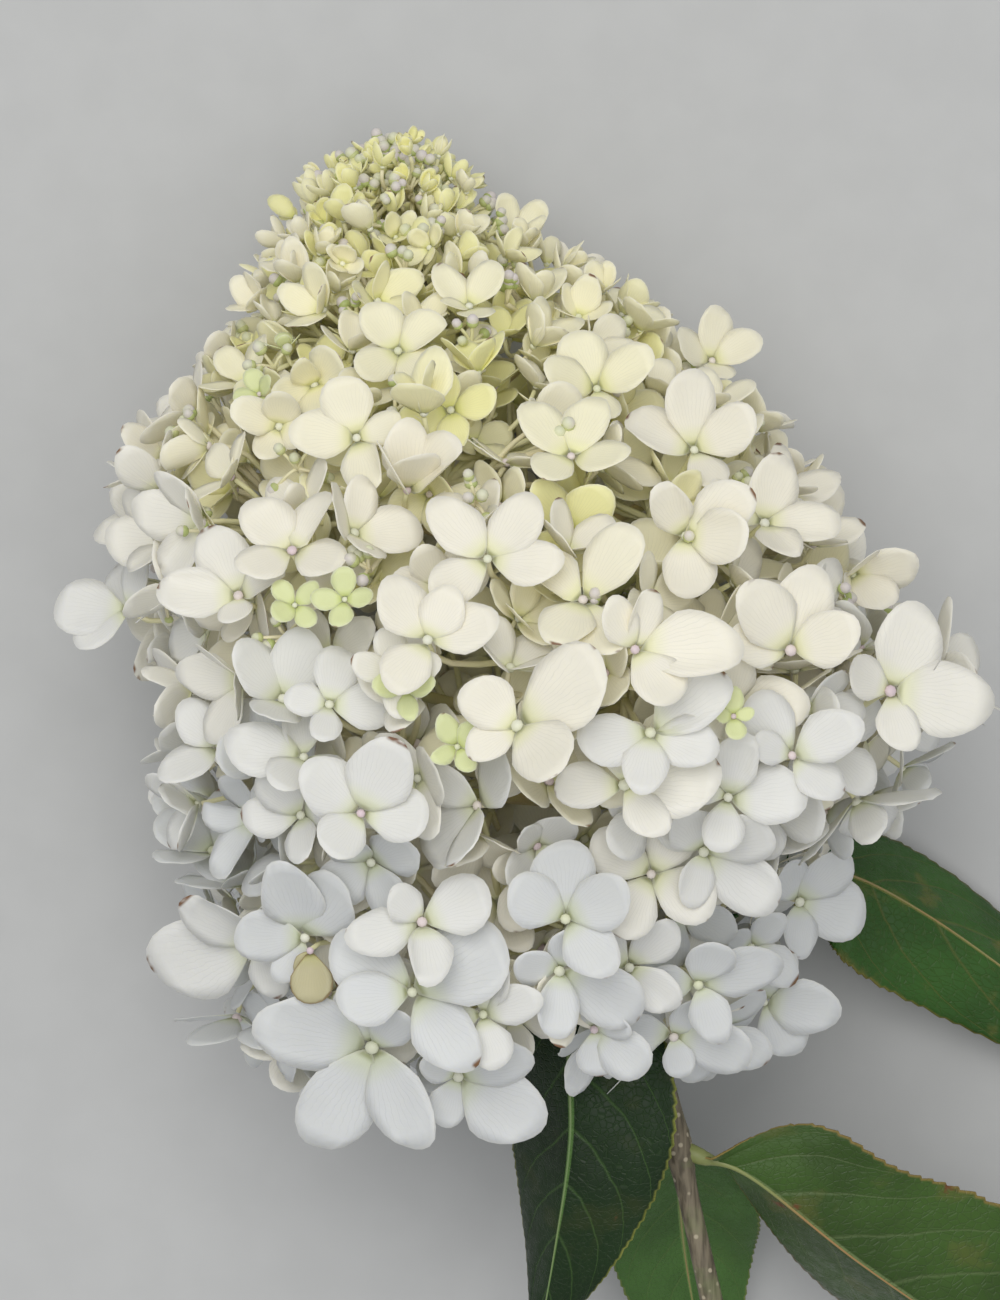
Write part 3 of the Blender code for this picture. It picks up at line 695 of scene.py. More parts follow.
def grow_stalks(branches, florets):
    """Branches of the bloom, the branchlets of each cluster, and a stalk to each floret."""
    boughs, stalks = Heap(), Heap()
    for branch in branches:
        own = [f for f in florets if f["branch"] == branch["name"]]
        sag = Vector((0, 0, 0.06 * (branch["core"] - branch["origin"]).length))
        path = bow(branch["origin"], branch["origin"].lerp(branch["core"], 0.5) + sag, branch["core"], 9)
        boughs.add(*tube(path, np.linspace(TWIG_RADIUS[1], TWIG_RADIUS[0], 9), 8))
        axis = (branch["aim"] - branch["core"]).normalized()
        side = axis.orthogonal().normalized()
        around = axis.cross(side)
        own.sort(key=lambda f: math.atan2(
            (f["place"] - branch["core"]).dot(around), (f["place"] - branch["core"]).dot(side)
        ))
        for start in range(0, len(own), FLORETS_PER_BRANCHLET):
            group = own[start:start + FLORETS_PER_BRANCHLET]
            middle = sum((f["place"] for f in group), Vector()) / len(group)
            fork = branch["core"].lerp(middle, 0.45)
            fork.z = max(fork.z, 4.0)
            path = bow(branch["core"], branch["core"].lerp(fork, 0.5) + axis * 2, fork, 6)
            stalks.add(*tube(path, np.linspace(BRANCHLET_RADIUS[1], BRANCHLET_RADIUS[0], 6)))
            for floret in group:
                foot = floret["place"] - floret["facing"] * 0.4
                foot.z = max(foot.z, 1.5)
                bend = floret["place"] - floret["facing"] * 0.5 * (foot - fork).length
                bend.z = max(bend.z, 1.5)
                slim = 0.6 + 0.4 * min(1, floret["reach"] / 15)
                path = bow(fork, bend, foot, 6)
                stalks.add(*tube(path, slim * np.linspace(PEDICEL_RADIUS[1], PEDICEL_RADIUS[0], 6)))
    return boughs, stalks


def grow_hearts(florets):
    """The round bud at the middle of each floret."""
    points, faces = ball(8, 6)
    pale, blush = Heap(), Heap()
    for floret in florets:
        size = (0.04 + 0.02 * floret["draw"].random()) * floret["reach"] + 0.35
        axes = frame_of(floret["facing"], 0)
        middle = np.array(floret["place"] + floret["facing"] * size * 0.7)
        placed = (points * size * np.array((1, 1, 0.8))) @ axes.T + middle
        placed[:, 2] = np.maximum(placed[:, 2], PRESS_GAP)
        heap = blush if floret["draw"].random() < 0.3 and floret["row"] > 3.5 else pale
        heap.add(placed, faces)
    return pale, blush


BUD_GROUPS = 110
BUDS_PER_GROUP = 5
BUD_RADIUS = 1.5
BUD_LAST_ROW = 6.5
CUP_SHAPE = (1.04, 1.04, 0.8)


def grow_buds(branches):
    """Sprays of small closed buds between the florets, most of them near the tip."""
    tops, cups, stalks = Heap(), Heap(), Heap()
    points, faces = ball(8, 6)
    for number in range(BUD_GROUPS):
        draw = random.Random(SEED * 77 + number)
        row = BUD_LAST_ROW * ((number + 0.5) / BUD_GROUPS) ** 1.4
        angle = number * GOLDEN_ANGLE + 0.7
        out = bloom_normal(row, angle)
        skin = bloom_point(row, angle)
        branch = min(branches, key=lambda b: (b["core"] - skin).length)
        fork = skin - out * draw.uniform(-1, 5)
        fork.z = max(fork.z, 3.0)
        path = bow(branch["core"], branch["core"].lerp(fork, 0.6) + out * 2, fork, 6)
        stalks.add(*tube(path, np.linspace(0.8, 0.6, 6)))
        for _ in range(BUDS_PER_GROUP):
            aim = (out + Vector([draw.gauss(0, 0.6) for _ in range(3)])).normalized()
            place = fork + aim * draw.uniform(4, 7.5)
            place.z = max(place.z, 2.0)
            size = BUD_RADIUS * draw.uniform(0.72, 1.08)
            axes = frame_of(aim, 0)
            stalks.add(*tube(bow(fork, fork + out * 2, place, 4), np.linspace(0.5, 0.4, 4)))
            tops.add((points * size) @ axes.T + np.array(place + aim * 0.35 * size), faces)
            cup = points * size * np.array(CUP_SHAPE)
            cups.add(cup @ axes.T + np.array(place - aim * 0.2 * size), faces)
    return tops, cups, stalks


def clear_start(y, target, radius):
    """How far out from the stem's middle a limb that leaves it towards the target has its round end clear."""
    origin, stem_radius = stem_at(y)
    along, _ = stem_at(y + 1)
    lean = abs((target - origin).normalized().dot((along - origin).normalized()))
    return (stem_radius + GAP + radius * lean) / math.sqrt(1 - lean * lean)


def leaf_midrib(leaf):
    """Points along a leaf, from where its petiole is clear of the stem to its tip."""
    origin, _ = stem_at(leaf["root_y"])
    target = Vector(leaf["midrib"][0])
    root = origin + (target - origin).normalized() * clear_start(leaf["root_y"], target, PETIOLE_RADIUS)
    return through([root, *leaf["midrib"]], CURVE_STEPS)


def leaf_outline(along, fullness):
    """Half the blade's width as a share of its greatest, from the round base to the drawn-out tip."""
    rise = math.sin(math.pi * min(along, 1) ** fullness)
    taper = 1 - 0.25 * along
    return max(rise * taper / 0.86, 0.02)


def midrib_frame(curve, place):
    """Point, left side and up side of a leaf at a place on its midrib."""
    place = min(max(place, 1), len(curve) - 2)
    low = int(place)
    share = place - low
    here = curve[low] * (1 - share) + curve[min(low + 1, len(curve) - 1)] * share
    way = Vector(curve[min(low + 1, len(curve) - 1)] - curve[low - 1]).normalized()
    side = Vector((0, 0, 1)).cross(way).normalized()
    return Vector(here), side, way.cross(side)


LEAF_ALONG = 168
LEAF_ACROSS = 24
LEAF_TEETH = 42
TOOTH_DEPTH = 0.035
SIDE_VEINS = 7.5
VEIN_LEAN = (0.2, 0.1)
LEAF_THICKNESS = 0.5
LEAF_WAVE = 1.5
LEAF_CURL = {"leaf_right_blade": 7.0}
LEAF_LOBE = {"leaf_right_blade": 0.8}
QUILT = 0.55


def leaf_relief(across, along):
    """Height of the blade between its sunken side veins, in millimetres."""
    place = (along - VEIN_LEAN[0] * abs(across) - VEIN_LEAN[1] * across * across) * SIDE_VEINS
    from_vein = abs(place - round(place)) * 2
    swell = 1 - math.exp(-(from_vein / 0.32) ** 2)
    from_rib = min(1.0, abs(across) / 0.12)
    return QUILT * swell * from_rib * (1 - abs(across) ** 4)


def make_blade(name, leaf, shift, finish):
    """A toothed leaf blade with sunken veins and a gently waved edge."""
    curve = leaf_midrib(leaf)
    blade = bmesh.new()
    bmesh.ops.create_grid(blade, x_segments=LEAF_ALONG, y_segments=LEAF_ACROSS, size=1)
    places = blade.loops.layers.uv.new("pattern")
    for face in blade.faces:
        for corner in face.loops:
            corner[places].uv = (corner.vert.co.y / 2 + 0.5, corner.vert.co.x / 2 + 0.5)
    for corner in blade.verts:
        along = (corner.co.x + 1) / 2
        across = corner.co.y
        station = leaf["blade_from"] + (1 - leaf["blade_from"]) * along
        point, side, up = midrib_frame(curve, station * (len(curve) - 1))
        tooth = 1 + TOOTH_DEPTH * ((along * LEAF_TEETH) % 1 - 0.5) * max(0, abs(across) - 0.8) / 0.2
        lobe = 1 + LEAF_LOBE.get(name, 0) * math.exp(-((along - 0.2) / 0.13) ** 2) * (across > 0)
        half = leaf["half_width"] * leaf_outline(along, leaf["fullness"]) * tooth * lobe
        lift = math.radians(leaf["lift"][0] if across > 0 else leaf["lift"][1])
        sideways = side * across * math.cos(lift) * (1 - 0.12 * across * across)
        rise = up * abs(across) * math.sin(lift)
        wave = LEAF_WAVE * math.sin(along * 17 + 2 * across) * abs(across) ** 3
        wave += LEAF_CURL.get(name, 0) * max(0, 1 - along / 0.22) * across ** 2 * (across > 0)
        corner.co = point + half * (sideways + rise) + up * (wave + leaf_relief(across, along))
        corner.co = (corner.co + Vector(shift)) * MM
        corner.co.z = max(corner.co.z, (LEAF_THICKNESS + 0.1) * MM)
    bmesh.ops.recalc_face_normals(blade, faces=blade.faces)
    if sum(face.normal.z for face in blade.faces) < 0:
        bmesh.ops.reverse_faces(blade, faces=blade.faces)
    mesh = bpy.data.meshes.new(name)
    blade.to_mesh(mesh)
    blade.free()
    mesh.shade_smooth()
    mesh.materials.append(finish)
    item = bpy.data.objects.new(name, mesh)
    bpy.context.scene.collection.objects.link(item)
    shell = item.modifiers.new("thickness", "SOLIDIFY")
    shell.thickness = LEAF_THICKNESS * MM
    shell.offset = -1
    return item


def make_rib(name, leaf, shift, finish):
    """The petiole from inside the stem's node and the midrib under the blade, tapering to the tip."""
    curve = np.vstack([np.array(stem_at(leaf["root_y"])[0])[None], leaf_midrib(leaf)])
    share = np.linspace(0, 0.97, 60)
    path = np.array([np.interp(share * (len(curve) - 1), range(len(curve)), curve[:, k]) for k in range(3)]).T
    start = leaf["blade_from"]
    past = np.clip((share - start) / (1 - start), 0, 1)
    radii = PETIOLE_RADIUS * np.where(share < start, 1, 0.25 + 0.75 * np.exp(-past / 0.12))
    radii *= (1 - past) ** 0.6
    radii = np.maximum(radii, 0.2) + 0.9 * np.exp(-share / 0.03)
    path[:, 2] -= np.where(share < start, 0, 0.5 * radii)
    path[:, 2] = np.maximum(path[:, 2], radii + 0.1)
    rib = Heap()
    rib.add(*tube(path, radii, 10))
    return rib.piece(name, shift, finish)


STEM_SIDES = 28
STEM_FINE_RINGS = 420
PORES = 150


def make_stem(shift, finish):
    """The stem with fine ridges, small raised pores and swollen nodes."""
    rows = through(STEM, STEM_FINE_RINGS)
    points, faces = tube(rows[:, :3], rows[:, 3] * 0.97, STEM_SIDES)
    angle, ring, _ = tube_sheet(STEM_SIDES, STEM_FINE_RINGS)
    length = np.concatenate([[0], np.cumsum(np.linalg.norm(np.diff(rows[:, :3], axis=0), axis=1))])[ring]
    ridge = 0.022 * np.sin(9 * angle + 0.05 * length)
    ridge += 0.012 * np.sin(17 * angle - 0.11 * length + 2 * np.sin(0.07 * length))
    draw = random.Random(SEED)
    for _ in range(PORES):
        at, round_at = draw.uniform(0, 150), draw.uniform(0, 2 * math.pi)
        off_angle = (angle - round_at + math.pi) % (2 * math.pi) - math.pi
        ridge += 0.06 * np.exp(-(off_angle / 0.16) ** 2 - ((length - at) / 0.7) ** 2)
    middle = rows[ring, :3]
    stem = Heap()
    stem.add(middle + (points - middle) * (1 + ridge[:, None]), faces)
    return stem.piece("stem_bark", shift, finish)


def plan_shift():
    """How far the plan's places are from the frame's, in millimetres, from the stem's own solid."""
    data = bpy.data.curves.new("stem_guide", "CURVE")
    data.dimensions = "3D"
    data.bevel_depth = MM
    data.bevel_resolution = 2
    data.use_fill_caps = True
    spline = data.splines.new("POLY")
    spline.points.add(STEM_RINGS - 1)
    for corner, (x, y, z, radius) in zip(spline.points, through(STEM, STEM_RINGS)):
        corner.co = (x * MM, y * MM, z * MM, 1)
        corner.radius = radius
    guide = bpy.data.objects.new("stem_guide", data)
    bpy.context.scene.collection.objects.link(guide)
    bpy.context.view_layer.update()
    made = bpy.data.meshes.new_from_object(guide.evaluated_get(bpy.context.evaluated_depsgraph_get()))
    low = np.array([v.co for v in made.vertices]).min(0)
    bpy.data.objects.remove(guide)
    bpy.data.meshes.remove(made)
    bpy.data.curves.remove(data)
    return (np.array(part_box("stem")[0]) - low) / MM


class Shade:
    """Adds nodes to one tree, with sockets or plain values as their inputs."""

    def __init__(self, tree):
        self.tree = tree

    def add(self, kind, inputs=None, **settings):
        node = self.tree.nodes.new(kind)
        for key, value in settings.items():
            setattr(node, key, value)
        for key, value in (inputs or {}).items():
            if isinstance(value, bpy.types.NodeSocket):
                self.tree.links.new(value, node.inputs[key])
            else:
                node.inputs[key].default_value = value
        return node

    def sum(self, operation, a, b=0.0, c=0.0, clamp=False):
        return self.add("ShaderNodeMath", {0: a, 1: b, 2: c}, operation=operation, use_clamp=clamp).outputs[0]

    def step(self, value, low, high, to_low=0.0, to_high=1.0):
        """A smooth step of the value from low to high."""
        inputs = {"Value": value, "From Min": low, "From Max": high, "To Min": to_low, "To Max": to_high}
        return self.add("ShaderNodeMapRange", inputs, interpolation_type="SMOOTHSTEP").outputs["Result"]

    def blend(self, share, first, second):
        """A mix of two colours, all of the second where the share is 1."""
        return self.add("ShaderNodeMix", {0: share, 6: first, 7: second}, data_type="RGBA").outputs[2]


def new_group(name, outputs, inputs=()):
    """An empty shader group with these value sockets, and its input and output nodes."""
    group = bpy.data.node_groups.new(name, "ShaderNodeTree")
    for label, start in inputs:
        socket = group.interface.new_socket(label, in_out="INPUT", socket_type="NodeSocketFloat")
        socket.default_value = start
    for label in outputs:
        group.interface.new_socket(label, in_out="OUTPUT", socket_type="NodeSocketFloat")
    return group, group.nodes.new("NodeGroupInput"), group.nodes.new("NodeGroupOutput")


def petal_group():
    """Fine veins that fan out from a petal's foot, its rim, its throat and its spots."""
    masks = ("Vein", "Rim", "Throat", "Painted foot shade", "Spot")
    group, given, out = new_group("petal pattern", masks, (("Count", 44.0),))
    shade = Shade(group)
    place = shade.add("ShaderNodeUVMap", uv_map="pattern").outputs["UV"]
    parts = shade.add("ShaderNodeSeparateXYZ", {0: place})
    across = shade.sum("SUBTRACT", parts.outputs[0], 0.5)
    along = parts.outputs[1]
    spot_place = shade.add("ShaderNodeTexCoord").outputs["Object"]
    wander = shade.add("ShaderNodeTexNoise", {"Vector": spot_place, "Scale": 260.0, "Detail": 2.0}).outputs[0]
    fan = shade.sum("ARCTAN2", across, shade.sum("ADD", along, 0.16))
    turned = shade.sum("MULTIPLY_ADD", fan, given.outputs["Count"], shade.sum("MULTIPLY", wander, 5.0))
    wave = shade.sum("ABSOLUTE", shade.sum("SINE", turned))
    line = shade.step(wave, 0.0, 0.34, 1.0, 0.0)
    fade = shade.step(along, 0.95, 0.45)
    group.links.new(shade.sum("MULTIPLY", line, fade), out.inputs["Vein"])
    edge = shade.add("ShaderNodeAttribute", attribute_name="edge").outputs["Fac"]
    group.links.new(shade.step(edge, 0.9, 1.0), out.inputs["Rim"])
    group.links.new(shade.step(along, 0.34, 0.02), out.inputs["Throat"])
    # Painted shade: the foot of each petal, near the heart, is masked to be darkened like the shaded slits
    # between the claws
    group.links.new(shade.step(along, 0.1, 0.03), out.inputs["Painted foot shade"])
    patch = shade.add("ShaderNodeTexNoise", {"Vector": spot_place, "Scale": 95.0, "Detail": 3.0}).outputs[0]
    tip = shade.step(along, 0.94, 0.985)
    group.links.new(shade.sum("MULTIPLY", shade.step(patch, 0.57, 0.63), tip), out.inputs["Spot"])
    return group


def mottle_group():
    """Soft large and fine patches on the surface."""
    group, given, out = new_group("soft mottle", ("Large", "Fine"), (("Scale", 60.0),))
    shade = Shade(group)
    place = shade.add("ShaderNodeTexCoord").outputs["Object"]
    large = shade.add("ShaderNodeTexNoise", {"Vector": place, "Scale": given.outputs["Scale"], "Detail": 3.0})
    fine_scale = shade.sum("MULTIPLY", given.outputs["Scale"], 9.0)
    fine = shade.add("ShaderNodeTexNoise", {"Vector": place, "Scale": fine_scale, "Detail": 4.0})
    group.links.new(large.outputs[0], out.inputs["Large"])
    group.links.new(fine.outputs[0], out.inputs["Fine"])
    return group


def vein_group():
    """A leaf's midrib, side veins, net of small veins and edge."""
    group, _, out = new_group("leaf veins", ("Midrib", "Side", "Net", "Edge"))
    shade = Shade(group)
    place = shade.add("ShaderNodeUVMap", uv_map="pattern").outputs["UV"]
    parts = shade.add("ShaderNodeSeparateXYZ", {0: place})
    across = shade.sum("ABSOLUTE", shade.sum("MULTIPLY_ADD", parts.outputs[0], 2.0, -1.0))
    along = parts.outputs[1]
    lean = shade.sum("MULTIPLY", across, shade.sum("MULTIPLY_ADD", across, VEIN_LEAN[1], VEIN_LEAN[0]))
    stretched = shade.add("ShaderNodeMapping", {"Vector": place, "Scale": (9.0, 22.0, 1.0)}).outputs[0]
    sway = shade.add("ShaderNodeTexNoise", {"Vector": stretched, "Scale": 0.5, "Detail": 2.0}).outputs[0]
    count = shade.sum("MULTIPLY", shade.sum("SUBTRACT", along, lean), SIDE_VEINS)
    count = shade.sum("ADD", count, shade.sum("MULTIPLY_ADD", sway, 0.24, -0.12))
    near = shade.sum("PINGPONG", count, 0.5)
    width = shade.sum("MULTIPLY_ADD", across, -0.035, 0.06)
    side = shade.sum("SUBTRACT", 1.0, shade.sum("DIVIDE", near, width), clamp=True)
    group.links.new(side, out.inputs["Side"])
    rib_width = shade.sum("MULTIPLY_ADD", along, -0.035, 0.05)
    rib = shade.sum("SUBTRACT", 1.0, shade.sum("DIVIDE", across, rib_width), clamp=True)
    group.links.new(shade.step(rib, 0.0, 0.5), out.inputs["Midrib"])
    cells = shade.add("ShaderNodeTexVoronoi", {"Vector": stretched, "Scale": 3.4}, feature="DISTANCE_TO_EDGE")
    group.links.new(shade.step(cells.outputs["Distance"], 0.1, 0.0), out.inputs["Net"])
    group.links.new(shade.step(across, 0.95, 1.0), out.inputs["Edge"])
    return group


PETAL_PATTERN = petal_group()
MOTTLE = mottle_group()
LEAF_VEINS = vein_group()


def start_material(name, roughness):
    """A new material, its node adder, its shader and its mottle."""
    made = bpy.data.materials.new(name)
    made.use_nodes = True
    shade = Shade(made.node_tree)
    shader = made.node_tree.nodes["Principled BSDF"]
    shader.inputs["Roughness"].default_value = roughness
    mottle = shade.add("ShaderNodeGroup", node_tree=MOTTLE)
    return made, shade, shader, mottle


def rgba(colour, times=1.0):
    return (*(channel * times for channel in colour), 1)


def petal_finish(name, colour, rim_highlight_or_brown=(0.95, 0.93, 0.84), rim_highlight_or_brown_share=0.3):
    """Thin matt petal with fine veins, a paler rim that is a painted highlight (a real brown rim on wilted
    petals), a greener throat and a foot darkened as painted shade.
    """
    made, shade, shader, mottle = start_material(name, 0.55)
    mottle.inputs["Scale"].default_value = 90.0
    pattern = shade.add("ShaderNodeGroup", node_tree=PETAL_PATTERN)
    base = shade.blend(shade.step(mottle.outputs["Large"], 0.35, 0.7), rgba(colour), rgba(colour, 0.95))
    base = shade.blend(shade.sum("MULTIPLY", pattern.outputs["Vein"], 0.4), base, rgba(colour, 0.72))
    green = tuple(a * b for a, b in zip(colour, (0.86, 0.92, 0.5)))
    base = shade.blend(shade.sum("MULTIPLY", pattern.outputs["Throat"], 0.75), base, rgba(green))
    # Painted shade: the petal's foot is darkened to dark olive in place of the shade in the slits between the
    # claws
    base = shade.blend(shade.sum("MULTIPLY", pattern.outputs["Painted foot shade"], 0.8), base, (0.2, 0.22, 0.06, 1))
    # Painted highlight: the rim is lightened as if light grazed and passed through the thin edge; wilted petals
    # get a real brown rim here instead
    base = shade.blend(shade.sum("MULTIPLY", pattern.outputs["Rim"], rim_highlight_or_brown_share), base, rgba(rim_highlight_or_brown))
    base = shade.blend(pattern.outputs["Spot"], base, (0.16, 0.06, 0.025, 1))
    shade.tree.links.new(base, shader.inputs["Base Color"])
    height = shade.sum("MULTIPLY_ADD", pattern.outputs["Vein"], -0.6, mottle.outputs["Fine"])
    bump = shade.add("ShaderNodeBump", {"Height": height, "Strength": 0.18, "Distance": 0.0003})
    shade.tree.links.new(bump.outputs[0], shader.inputs["Normal"])
    shader.inputs["Subsurface Weight"].default_value = 0.12
    shader.inputs["Subsurface Radius"].default_value = (1.0, 0.85, 0.4)
    shader.inputs["Subsurface Scale"].default_value = 0.002
    shader.inputs["Sheen Weight"].default_value = 0.08
    return made


def stalk_finish(name, colour, end_colour, scale=40.0):
    """Smooth green stalk, mottled towards a second colour."""
    made, shade, shader, mottle = start_material(name, 0.5)
    mottle.inputs["Scale"].default_value = scale
    share = shade.step(mottle.outputs["Large"], 0.4, 0.62)
    shade.tree.links.new(shade.blend(share, rgba(colour), rgba(end_colour)), shader.inputs["Base Color"])
    relief = {"Height": mottle.outputs["Fine"], "Strength": 0.2, "Distance": 0.0003}
    bump = shade.add("ShaderNodeBump", relief)
    shade.tree.links.new(bump.outputs[0], shader.inputs["Normal"])
    return made


def bark_finish():
    """Brown-grey bark with long fine streaks and pale pores."""
    made, shade, shader, mottle = start_material("stem_bark", 0.72)
    mottle.inputs["Scale"].default_value = 120.0
    place = shade.add("ShaderNodeTexCoord").outputs["Object"]
    along = shade.add("ShaderNodeMapping", {"Vector": place, "Scale": (900.0, 60.0, 900.0)}).outputs[0]
    streak = shade.add("ShaderNodeTexNoise", {"Vector": along, "Scale": 1.0, "Detail": 4.0}).outputs[0]
    base = shade.blend(shade.step(streak, 0.35, 0.65), (0.07, 0.055, 0.033, 1), (0.19, 0.155, 0.1, 1))
    pores = shade.add("ShaderNodeTexVoronoi", {"Vector": place, "Scale": 330.0}).outputs["Distance"]
    base = shade.blend(shade.step(pores, 0.24, 0.12), base, (0.42, 0.36, 0.25, 1))
    green = shade.step(mottle.outputs["Large"], 0.5, 0.66)
    base = shade.blend(shade.sum("MULTIPLY", green, 0.35), base, (0.16, 0.2, 0.07, 1))
    shade.tree.links.new(base, shader.inputs["Base Color"])
    bump = shade.add("ShaderNodeBump", {"Height": streak, "Strength": 0.5, "Distance": 0.0004})
    shade.tree.links.new(bump.outputs[0], shader.inputs["Normal"])
    return made


def blade_finish(name, colour, vein, edge, gloss, ochre):
    """Leaf blade with lighter veins, a net of small sunken ones and a few brown blemishes."""
    made, shade, shader, mottle = start_material(name, gloss)
    mottle.inputs["Scale"].default_value = 42.0
    veins = shade.add("ShaderNodeGroup", node_tree=LEAF_VEINS)
    base = shade.blend(shade.step(mottle.outputs["Large"], 0.35, 0.68), rgba(colour), rgba(colour, 1.5))
    base = shade.blend(shade.sum("MULTIPLY", veins.outputs["Net"], 0.16), base, rgba(vein, 0.4))
    base = shade.blend(shade.sum("MULTIPLY", veins.outputs["Side"], 0.5), base, rgba(vein, 0.7))
    base = shade.blend(veins.outputs["Midrib"], base, rgba(vein))
    base = shade.blend(shade.sum("MULTIPLY", veins.outputs["Edge"], 0.7), base, rgba(edge))
    place = shade.add("ShaderNodeTexCoord").outputs["Object"]
    blemish = shade.add("ShaderNodeTexNoise", {"Vector": place, "Scale": 70.0, "Detail": 5.0}).outputs[0]
    patch = shade.sum("MULTIPLY", shade.step(blemish, 0.56, 0.68), ochre)
    base = shade.blend(patch, base, (0.17, 0.14, 0.03, 1))
    base = shade.blend(shade.step(blemish, 0.69, 0.74), base, (0.12, 0.045, 0.015, 1))
    shade.tree.links.new(base, shader.inputs["Base Color"])
    height = shade.sum("MULTIPLY", veins.outputs["Net"], -1.0)
    height = shade.sum("MULTIPLY_ADD", veins.outputs["Side"], -1.2, height)
    height = shade.sum("MULTIPLY_ADD", mottle.outputs["Fine"], 0.5, height)
    bump = shade.add("ShaderNodeBump", {"Height": height, "Strength": 0.4, "Distance": 0.0005})
    shade.tree.links.new(bump.outputs[0], shader.inputs["Normal"])
    shader.inputs["Specular IOR Level"].default_value = 0.22
    rough = shade.step(mottle.outputs["Fine"], 0.3, 0.7, gloss - 0.08, gloss + 0.1)
    shade.tree.links.new(rough, shader.inputs["Roughness"])
    return made


def finish_piece(piece, nodes=()):
    """Ties a piece to the plant and to the solids that it stands for."""
    if nodes:
        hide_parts(*sorted(nodes))
    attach(piece, "root")


# Hearts and buds: name, slot, two colours and how fine their mottle is
SMALL_PARTS = (
    ("floret_hearts", "petal", (0.8, 0.8, 0.66), (0.74, 0.76, 0.52), 40),
    ("blush_hearts", "petal", (0.72, 0.56, 0.62), (0.8, 0.72, 0.66), 40),
    ("bud_tops", "petal", (0.7, 0.64, 0.62), (0.7, 0.72, 0.48), 90),
    ("bud_cups", "stalk", (0.42, 0.5, 0.16), (0.55, 0.58, 0.25), 90),
)


def make_bloom(shift):
    """All of the bloom: petals by tone, hearts, stalks, branches and buds."""
    branches = plan_branches()
    first = plan_first(branches)
    florets = list(first)
    for shell in SHELLS:
        florets += plan_shell(branches, shell, len(florets), first)
    obstacles = leaf_trees()
    florets = fit_florets(florets, obstacles)
    clusters = {f"cluster_{branch['name']}" for branch in branches}
    colours = {name: colour for name, (colour, _) in TONES.items()}
    for tone, colour in {**colours, "lime": LIME, "wilted": WILTED}.items():
        heap, nodes = Heap(), set()
        for floret in florets:
            if floret["tone"] == tone:
                nodes.add(f"cluster_{floret['branch']}")
                sheet = floret["sheet"]
                for points, flat in floret["petals"]:
                    heap.add(points, sheet.faces, flat, sheet.edge, sheet.rims)
        # Wilted petals get a real brown rim; the others keep the default lightened rim, which is a painted
        # highlight
        rim_highlight_or_brown = ((0.2, 0.11, 0.04), 0.8) if tone == "wilted" else ()
        piece = heap.piece(f"petals_{tone}", shift, petal_finish(f"petals {tone}", colour, *rim_highlight_or_brown))
        finish_piece(piece, nodes)
    pale_green = stalk_finish("bloom stalk", (0.8, 0.77, 0.42), (0.84, 0.76, 0.5))
    boughs, stalks = grow_stalks(branches, florets)
    bough_nodes = {f"bough_{branch['name']}" for branch in branches if not branch["direct"]}
    bough_green = stalk_finish("bloom branch", (0.5, 0.5, 0.2), (0.55, 0.42, 0.2))
    finish_piece(boughs.piece("bloom_branches", shift, bough_green), bough_nodes)
    finish_piece(stalks.piece("floret_stalks", shift, pale_green), clusters)
    pale, blush = grow_hearts(florets)
    tops, cups, threads = grow_buds(branches)
    for heap, (name, slot, *look) in zip((pale, blush, tops, cups), SMALL_PARTS):
        finish_piece(heap.piece(name, shift, stalk_finish(name.replace("_", " "), *look)))
    finish_piece(threads.piece("bud_stalks", shift, pale_green))


LEAF_LOOKS = {
    "leaf_front": ((0.003, 0.0125, 0.0015), (0.075, 0.16, 0.035), (0.28, 0.3, 0.05), 0.5, 0.05),
    "leaf_right": ((0.025, 0.058, 0.008), (0.14, 0.2, 0.07), (0.3, 0.19, 0.05), 0.42, 0.2),
    "leaf_under_bloom": ((0.019, 0.066, 0.008), (0.16, 0.17, 0.04), (0.22, 0.18, 0.04), 0.5, 0.5),
    "leaf_behind_stem": ((0.042, 0.105, 0.02), (0.14, 0.24, 0.06), (0.2, 0.24, 0.06), 0.5, 0.05),
}
PETIOLE_LOOKS = {
    "leaf_front": ((0.12, 0.22, 0.06), (0.17, 0.25, 0.08)),
    "leaf_right": ((0.34, 0.19, 0.06), (0.22, 0.25, 0.07)),
    "leaf_under_bloom": ((0.35, 0.2, 0.07), (0.26, 0.25, 0.08)),
    "leaf_behind_stem": ((0.25, 0.28, 0.08), (0.32, 0.24, 0.08)),
}


def leaf_trees():
    """Search trees of the leaves' middles, for florets to keep off, in millimetres."""
    trees = []
    for leaf in LEAVES.values():
        points, faces = tube(leaf_midrib(leaf)[::5], [PETIOLE_RADIUS + 1] * 21)
        trees.append(BVHTree.FromPolygons(points.tolist(), faces))
    return trees


def make_leaves(shift):
    for name, leaf in LEAVES.items():
        blade = make_blade(f"{name}_blade", leaf, shift, blade_finish(f"{name} blade", *LEAF_LOOKS[name]))
        finish_piece(blade, {name})
        rib = make_rib(f"{name}_rib", leaf, shift, stalk_finish(f"{name} rib", *PETIOLE_LOOKS[name]))
        finish_piece(rib)


# The stage: the camera looks straight down on the middle of the bloom's depth
CAMERA_HEIGHT = 1.18
BLOOM_MIDDLE = 0.078
VIEW_HEIGHT = 0.312
SENSOR = 24.0


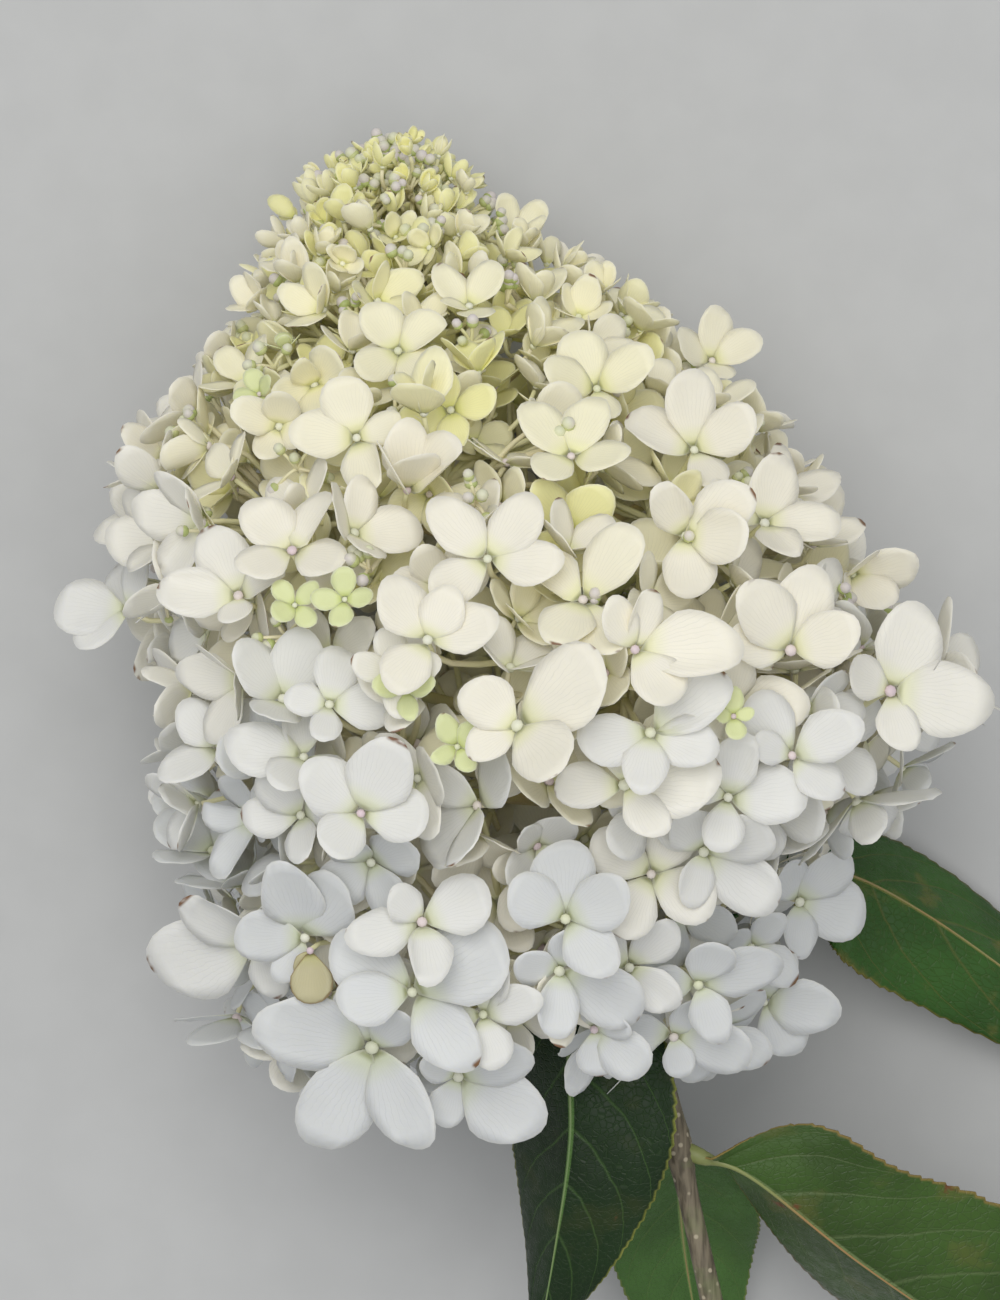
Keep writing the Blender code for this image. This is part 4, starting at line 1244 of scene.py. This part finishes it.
def make_stage(shift):
    """A plain pale floor, soft lights and the camera."""
    slab = bmesh.new()
    bmesh.ops.create_grid(slab, x_segments=1, y_segments=1, size=3)
    mesh = bpy.data.meshes.new("floor")
    slab.to_mesh(mesh)
    slab.free()
    made, shade, shader, mottle = start_material("pale floor", 0.8)
    share = shade.step(mottle.outputs["Large"], 0.3, 0.7)
    base = shade.blend(share, (0.5, 0.505, 0.505, 1), (0.52, 0.525, 0.525, 1))
    shade.tree.links.new(base, shader.inputs["Base Color"])
    mesh.materials.append(made)
    floor = bpy.data.objects.new("floor", mesh)
    bpy.context.scene.collection.objects.link(floor)
    world = bpy.data.worlds.new("studio")
    world.use_nodes = True
    world.node_tree.nodes["Background"].inputs["Color"].default_value = (0.94, 0.97, 1.0, 1)
    world.node_tree.nodes["Background"].inputs["Strength"].default_value = 0.36
    bpy.context.scene.world = world
    middle = Vector((shift[0] * MM, shift[1] * MM, BLOOM_MIDDLE))
    lamps = (
        ("key", (-0.3, 0.6, 1.5), 1.0, 9.5, (1.0, 0.985, 0.95)),
        ("fill", (0.12, -0.08, 1.5), 1.2, 6.2, (1.0, 0.99, 0.97)),
    )
    for name, place, size, power, colour in lamps:
        lamp = bpy.data.lights.new(name, "AREA")
        lamp.size = size
        lamp.energy = power
        lamp.color = colour
        item = bpy.data.objects.new(name, lamp)
        item.location = place
        item.rotation_euler = (middle - Vector(place)).to_track_quat("-Z", "Y").to_euler()
        bpy.context.scene.collection.objects.link(item)
    lens = bpy.data.cameras.new("camera")
    lens.sensor_fit = "VERTICAL"
    lens.sensor_height = SENSOR
    lens.lens = SENSOR * (CAMERA_HEIGHT - BLOOM_MIDDLE) / VIEW_HEIGHT
    camera = bpy.data.objects.new("camera", lens)
    camera.location = (middle.x, middle.y, CAMERA_HEIGHT)
    bpy.context.scene.collection.objects.link(camera)
    bpy.context.scene.camera = camera
    bpy.context.scene.view_settings.view_transform = "Standard"
    bpy.context.scene.view_settings.gamma = 1.16


def main():
    shift = plan_shift()
    make_stage(shift)
    make_bloom(shift)
    make_leaves(shift)
    finish_piece(make_stem(shift, bark_finish()), {"stem"})


main()
